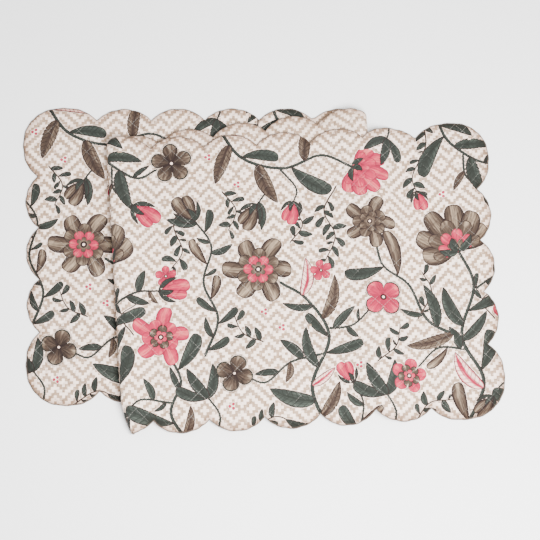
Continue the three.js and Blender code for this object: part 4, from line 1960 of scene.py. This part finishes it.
@dataclass(frozen=True)
class PrintedCotton:
    """The runner's finish: printed ground and flowers, quilting stitches, puckers and weave, with a painted
    shadow line and painted shade along the edge, and painted shade on the wrong side.
    """

    quilting: Quilting
    cloth: FlatCloth
    ground: GroundTwill = GroundTwill()
    floral: FloralPrint = FloralPrint()
    inks: Inks = Inks()
    thread: Colour = ink(208, 203, 195)
    # Painted shadow: the dark colour of a thin line along the edge, where the rounded edge turns down into
    # shade.
    painted_rim_shadow: Colour = ink(80, 68, 60)
    # Painted shade: the colour that the cloth is multiplied by towards its edge, standing in for light
    # falling off there.
    painted_edge_shade: Colour = ink(186, 171, 161)
    thread_half: float = 0.2
    thread_cover: float = 0.28
    stitch_pitch: float = 3.2
    stitch_share: float = 0.72
    # Width in millimetres of the painted shadow line along the edge, and how fully it covers the colour.
    rim_shadow_width: float = 2.4
    rim_shadow_cover: float = 0.82
    # Width in millimetres of the band of painted shade along the edge.
    painted_shade_band: float = 13.0
    trough_reach: float = 1.5
    trough_depth: float = 0.6
    pucker_height: float = 2.6
    edge_puckers: float = 0.6
    puckered_band: tuple[float, float] = (70.0, 8.0)
    thread_fades: tuple[float, float] = (0.4, 0.68)
    thread_cloud_scale: float = 0.035
    pucker_scale: float = 0.11
    pucker_share_off_lines: float = 0.4
    weave_pitch: float = 0.42
    weave_height: float = 0.03
    roughness: float = 0.92
    sheen: float = 0.06
    gloss: float = 0.12
    # Painted shade: the share by which the wrong side is darkened towards beige.
    reverse_painted_shade: float = 0.12

    def stitch_fields(self, graph: Graph, u: Num, v: Num) -> tuple[Num, Num]:
        """How near a place is to the stitch lines: distance from the nearer line, and thread there.

        The two sets of lines are where the sum and the difference of the places, each times root
        one half, are whole multiples of the spacing. Stitches are shares of the way along a line.

        Args:
            graph: The material's graph.
            u: Place along the cloth.
            v: Place across it.

        Returns:
            The distance, and one on a stitch.
        """
        spacing = self.quilting.line_spacing
        centred = u - self.cloth.length / 2
        sum_way, other_way = (centred + v) * math.sqrt(0.5), (centred - v) * math.sqrt(0.5)

        def from_line(way: Num) -> Num:
            """Distance from the nearest whole multiple of the spacing."""
            return abs(((way / spacing + 0.5).part() - 0.5) * spacing)

        near_sum, near_other = from_line(sum_way), from_line(other_way)

        def stitch(distance: Num, along: Num) -> Num:
            """One on a stitch of a line."""
            in_stitch = (along / self.stitch_pitch).part() < self.stitch_share
            return distance.rises(self.thread_half * 1.5, self.thread_half * 0.6) * in_stitch

        thread = stitch(near_sum, other_way).at_least(stitch(near_other, sum_way))
        cloud = graph.noise(graph.vector(u, v), 2.0, self.thread_cloud_scale)
        return near_sum.at_most(near_other), thread * cloud.rises(*self.thread_fades)

    def relief(self, graph: Graph, u: Num, v: Num, distance: Num) -> Num:
        """Height of the surface detail: a bell-shaped trough along each stitch line, puckers that
        are strongest beside it and near the cloth's edge, and the weave as two crossed waves.

        Args:
            graph: The material's graph.
            u: Place along the cloth.
            v: Place across it.
            distance: Distance from the nearest stitch line.

        Returns:
            Height in millimetres.
        """
        trough = ((distance / self.trough_reach).square() * -1.0).op("EXPONENT")
        pucker = graph.noise(graph.vector(u, v), 3.0, self.pucker_scale) - 0.5
        near_edge = graph.number("edge_distance").rises(*self.puckered_band)
        more = 1 + near_edge * self.edge_puckers
        wave = TURN / self.weave_pitch
        weave = (u * wave).op("SINE") * (v * wave).op("SINE")
        beside = trough * (1 - self.pucker_share_off_lines) + self.pucker_share_off_lines
        relief = pucker * beside * more * self.pucker_height
        return relief - trough * self.trough_depth + weave * self.weave_height

    def build(self) -> bpy.types.Material:
        """Makes the material.

        Returns:
            The material.
        """
        graph = Graph("printed_cotton")
        u, v = graph.flat_place("cloth")
        distance, thread = self.stitch_fields(graph, u, v)
        ground = self.ground.colour(graph, u, v)
        printed = self.inks.printed(graph, (u, v), ground, self.ground.cream)
        # Painted shade: the wrong side is mixed a little towards beige, so the middle layer's strips beyond
        # the top layer look shaded.
        reverse = graph.mix(self.reverse_painted_shade, ground, self.ground.beige)
        colour = graph.mix(graph.number("right_side"), reverse, printed)
        colour = graph.mix(thread * self.thread_cover, colour, self.thread)
        # Painted shade: within a band along the edge the colour is multiplied towards a greyish beige,
        # darkest at the edge itself.
        from_edge = graph.number("edge_distance")
        shade = from_edge.rises(self.painted_shade_band, -self.painted_shade_band / 4)
        colour = graph.mix(shade, colour, self.painted_edge_shade, "MULTIPLY")
        # Painted shadow: a thin dark line over the last millimetres of the edge, where the rounded edge
        # turns away from the light.
        edge = from_edge.rises(self.rim_shadow_width, 0.0)
        colour = graph.mix(edge * self.rim_shadow_cover, colour, self.painted_rim_shadow)
        relief = self.relief(graph, u, v, distance)
        bump = graph.add("ShaderNodeBump")
        for name, value in (("Strength", 1.0), ("Distance", MM), ("Height", relief)):
            graph.feed(bump.inputs[name], value)
        graph.dress(
            Base_Color=colour, Normal=bump.outputs[0], Roughness=self.roughness,
            Sheen_Weight=self.sheen, Specular_IOR_Level=self.gloss,
        )
        return graph.material


@dataclass(frozen=True)
class Studio:
    """A pale table, soft light from above, and a camera looking down on the runner. Metres."""

    aim: tuple[float, float, float] = (0.01266, -0.00355, 0.0)
    elevation: float = 73.34
    distance: float = 2.0
    focal_pixels: float = 1697.97
    frame_pixels: float = 540.0
    sensor: float = 36.0
    table_size: float = 8.0
    table_colour: Colour = (0.96, 0.96, 0.96, 1.0)
    table_roughness: float = 0.8
    sky: float = 1.15
    key_place: tuple[float, float, float] = (0.32, -0.46, 0.98)
    key_size: float = 0.6
    key_power: float = 51.0

    def table(self) -> bpy.types.Object:
        """A flat pale plane under the runner.

        Returns:
            The plane.
        """
        bpy.ops.mesh.primitive_plane_add(size=self.table_size)
        table = bpy.context.object
        table.name = "table_top"
        graph = Graph("pale_table")
        graph.dress(Base_Color=self.table_colour, Roughness=self.table_roughness)
        table.data.materials.append(graph.material)
        return table

    def light(self) -> None:
        """An even white sky and one soft lamp, high up beyond the runner's near right corner."""
        world = bpy.data.worlds.new("soft_sky")
        world.use_nodes = True
        background = world.node_tree.nodes["Background"]
        background.inputs["Color"].default_value = (1.0, 1.0, 1.0, 1.0)
        background.inputs["Strength"].default_value = self.sky
        bpy.context.scene.world = world
        lamp = bpy.data.lights.new("key_light", "AREA")
        lamp.size = self.key_size
        lamp.energy = self.key_power
        key = bpy.data.objects.new("key_light", lamp)
        key.location = self.key_place
        key.rotation_euler = (Vector(self.aim) - key.location).to_track_quat("-Z", "Y").to_euler()
        bpy.context.scene.collection.objects.link(key)

    def camera(self) -> None:
        """The camera at the photograph's angle, its lens from the focal length in pixels."""
        lens = bpy.data.cameras.new("camera")
        lens.sensor_width = self.sensor
        lens.lens = self.focal_pixels / self.frame_pixels * self.sensor
        camera = bpy.data.objects.new("camera", lens)
        rise = math.radians(self.elevation)
        back = Vector((0.0, -math.cos(rise), math.sin(rise)))
        camera.location = Vector(self.aim) + back * self.distance
        camera.rotation_euler = (-back).to_track_quat("-Z", "Y").to_euler()
        bpy.context.scene.collection.objects.link(camera)
        bpy.context.scene.camera = camera


def main() -> None:
    """Builds the scene in order: camera and light, the cloth, its finish."""
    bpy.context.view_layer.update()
    studio = Studio()
    studio.camera()
    studio.light()
    studio.table()
    log.info("studio: camera, light and table")

    runner = RunnerSheet()
    sheet, corners = runner.build()
    cotton = PrintedCotton(runner.quilting, runner.cloth)
    cotton.floral.store(sheet.data, corners, runner.cloth.length)
    sheet.data.materials.append(cotton.build())
    log.info("finish: printed, quilted cotton")
    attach(sheet, "root")
    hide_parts(CAD_NODE)
    cloth = runner.cloth
    size = (cloth.width * MM, cloth.length * MM)


if __name__ == "__main__":
    logging.basicConfig(level=logging.INFO, format="%(name)s: %(message)s")
    main()
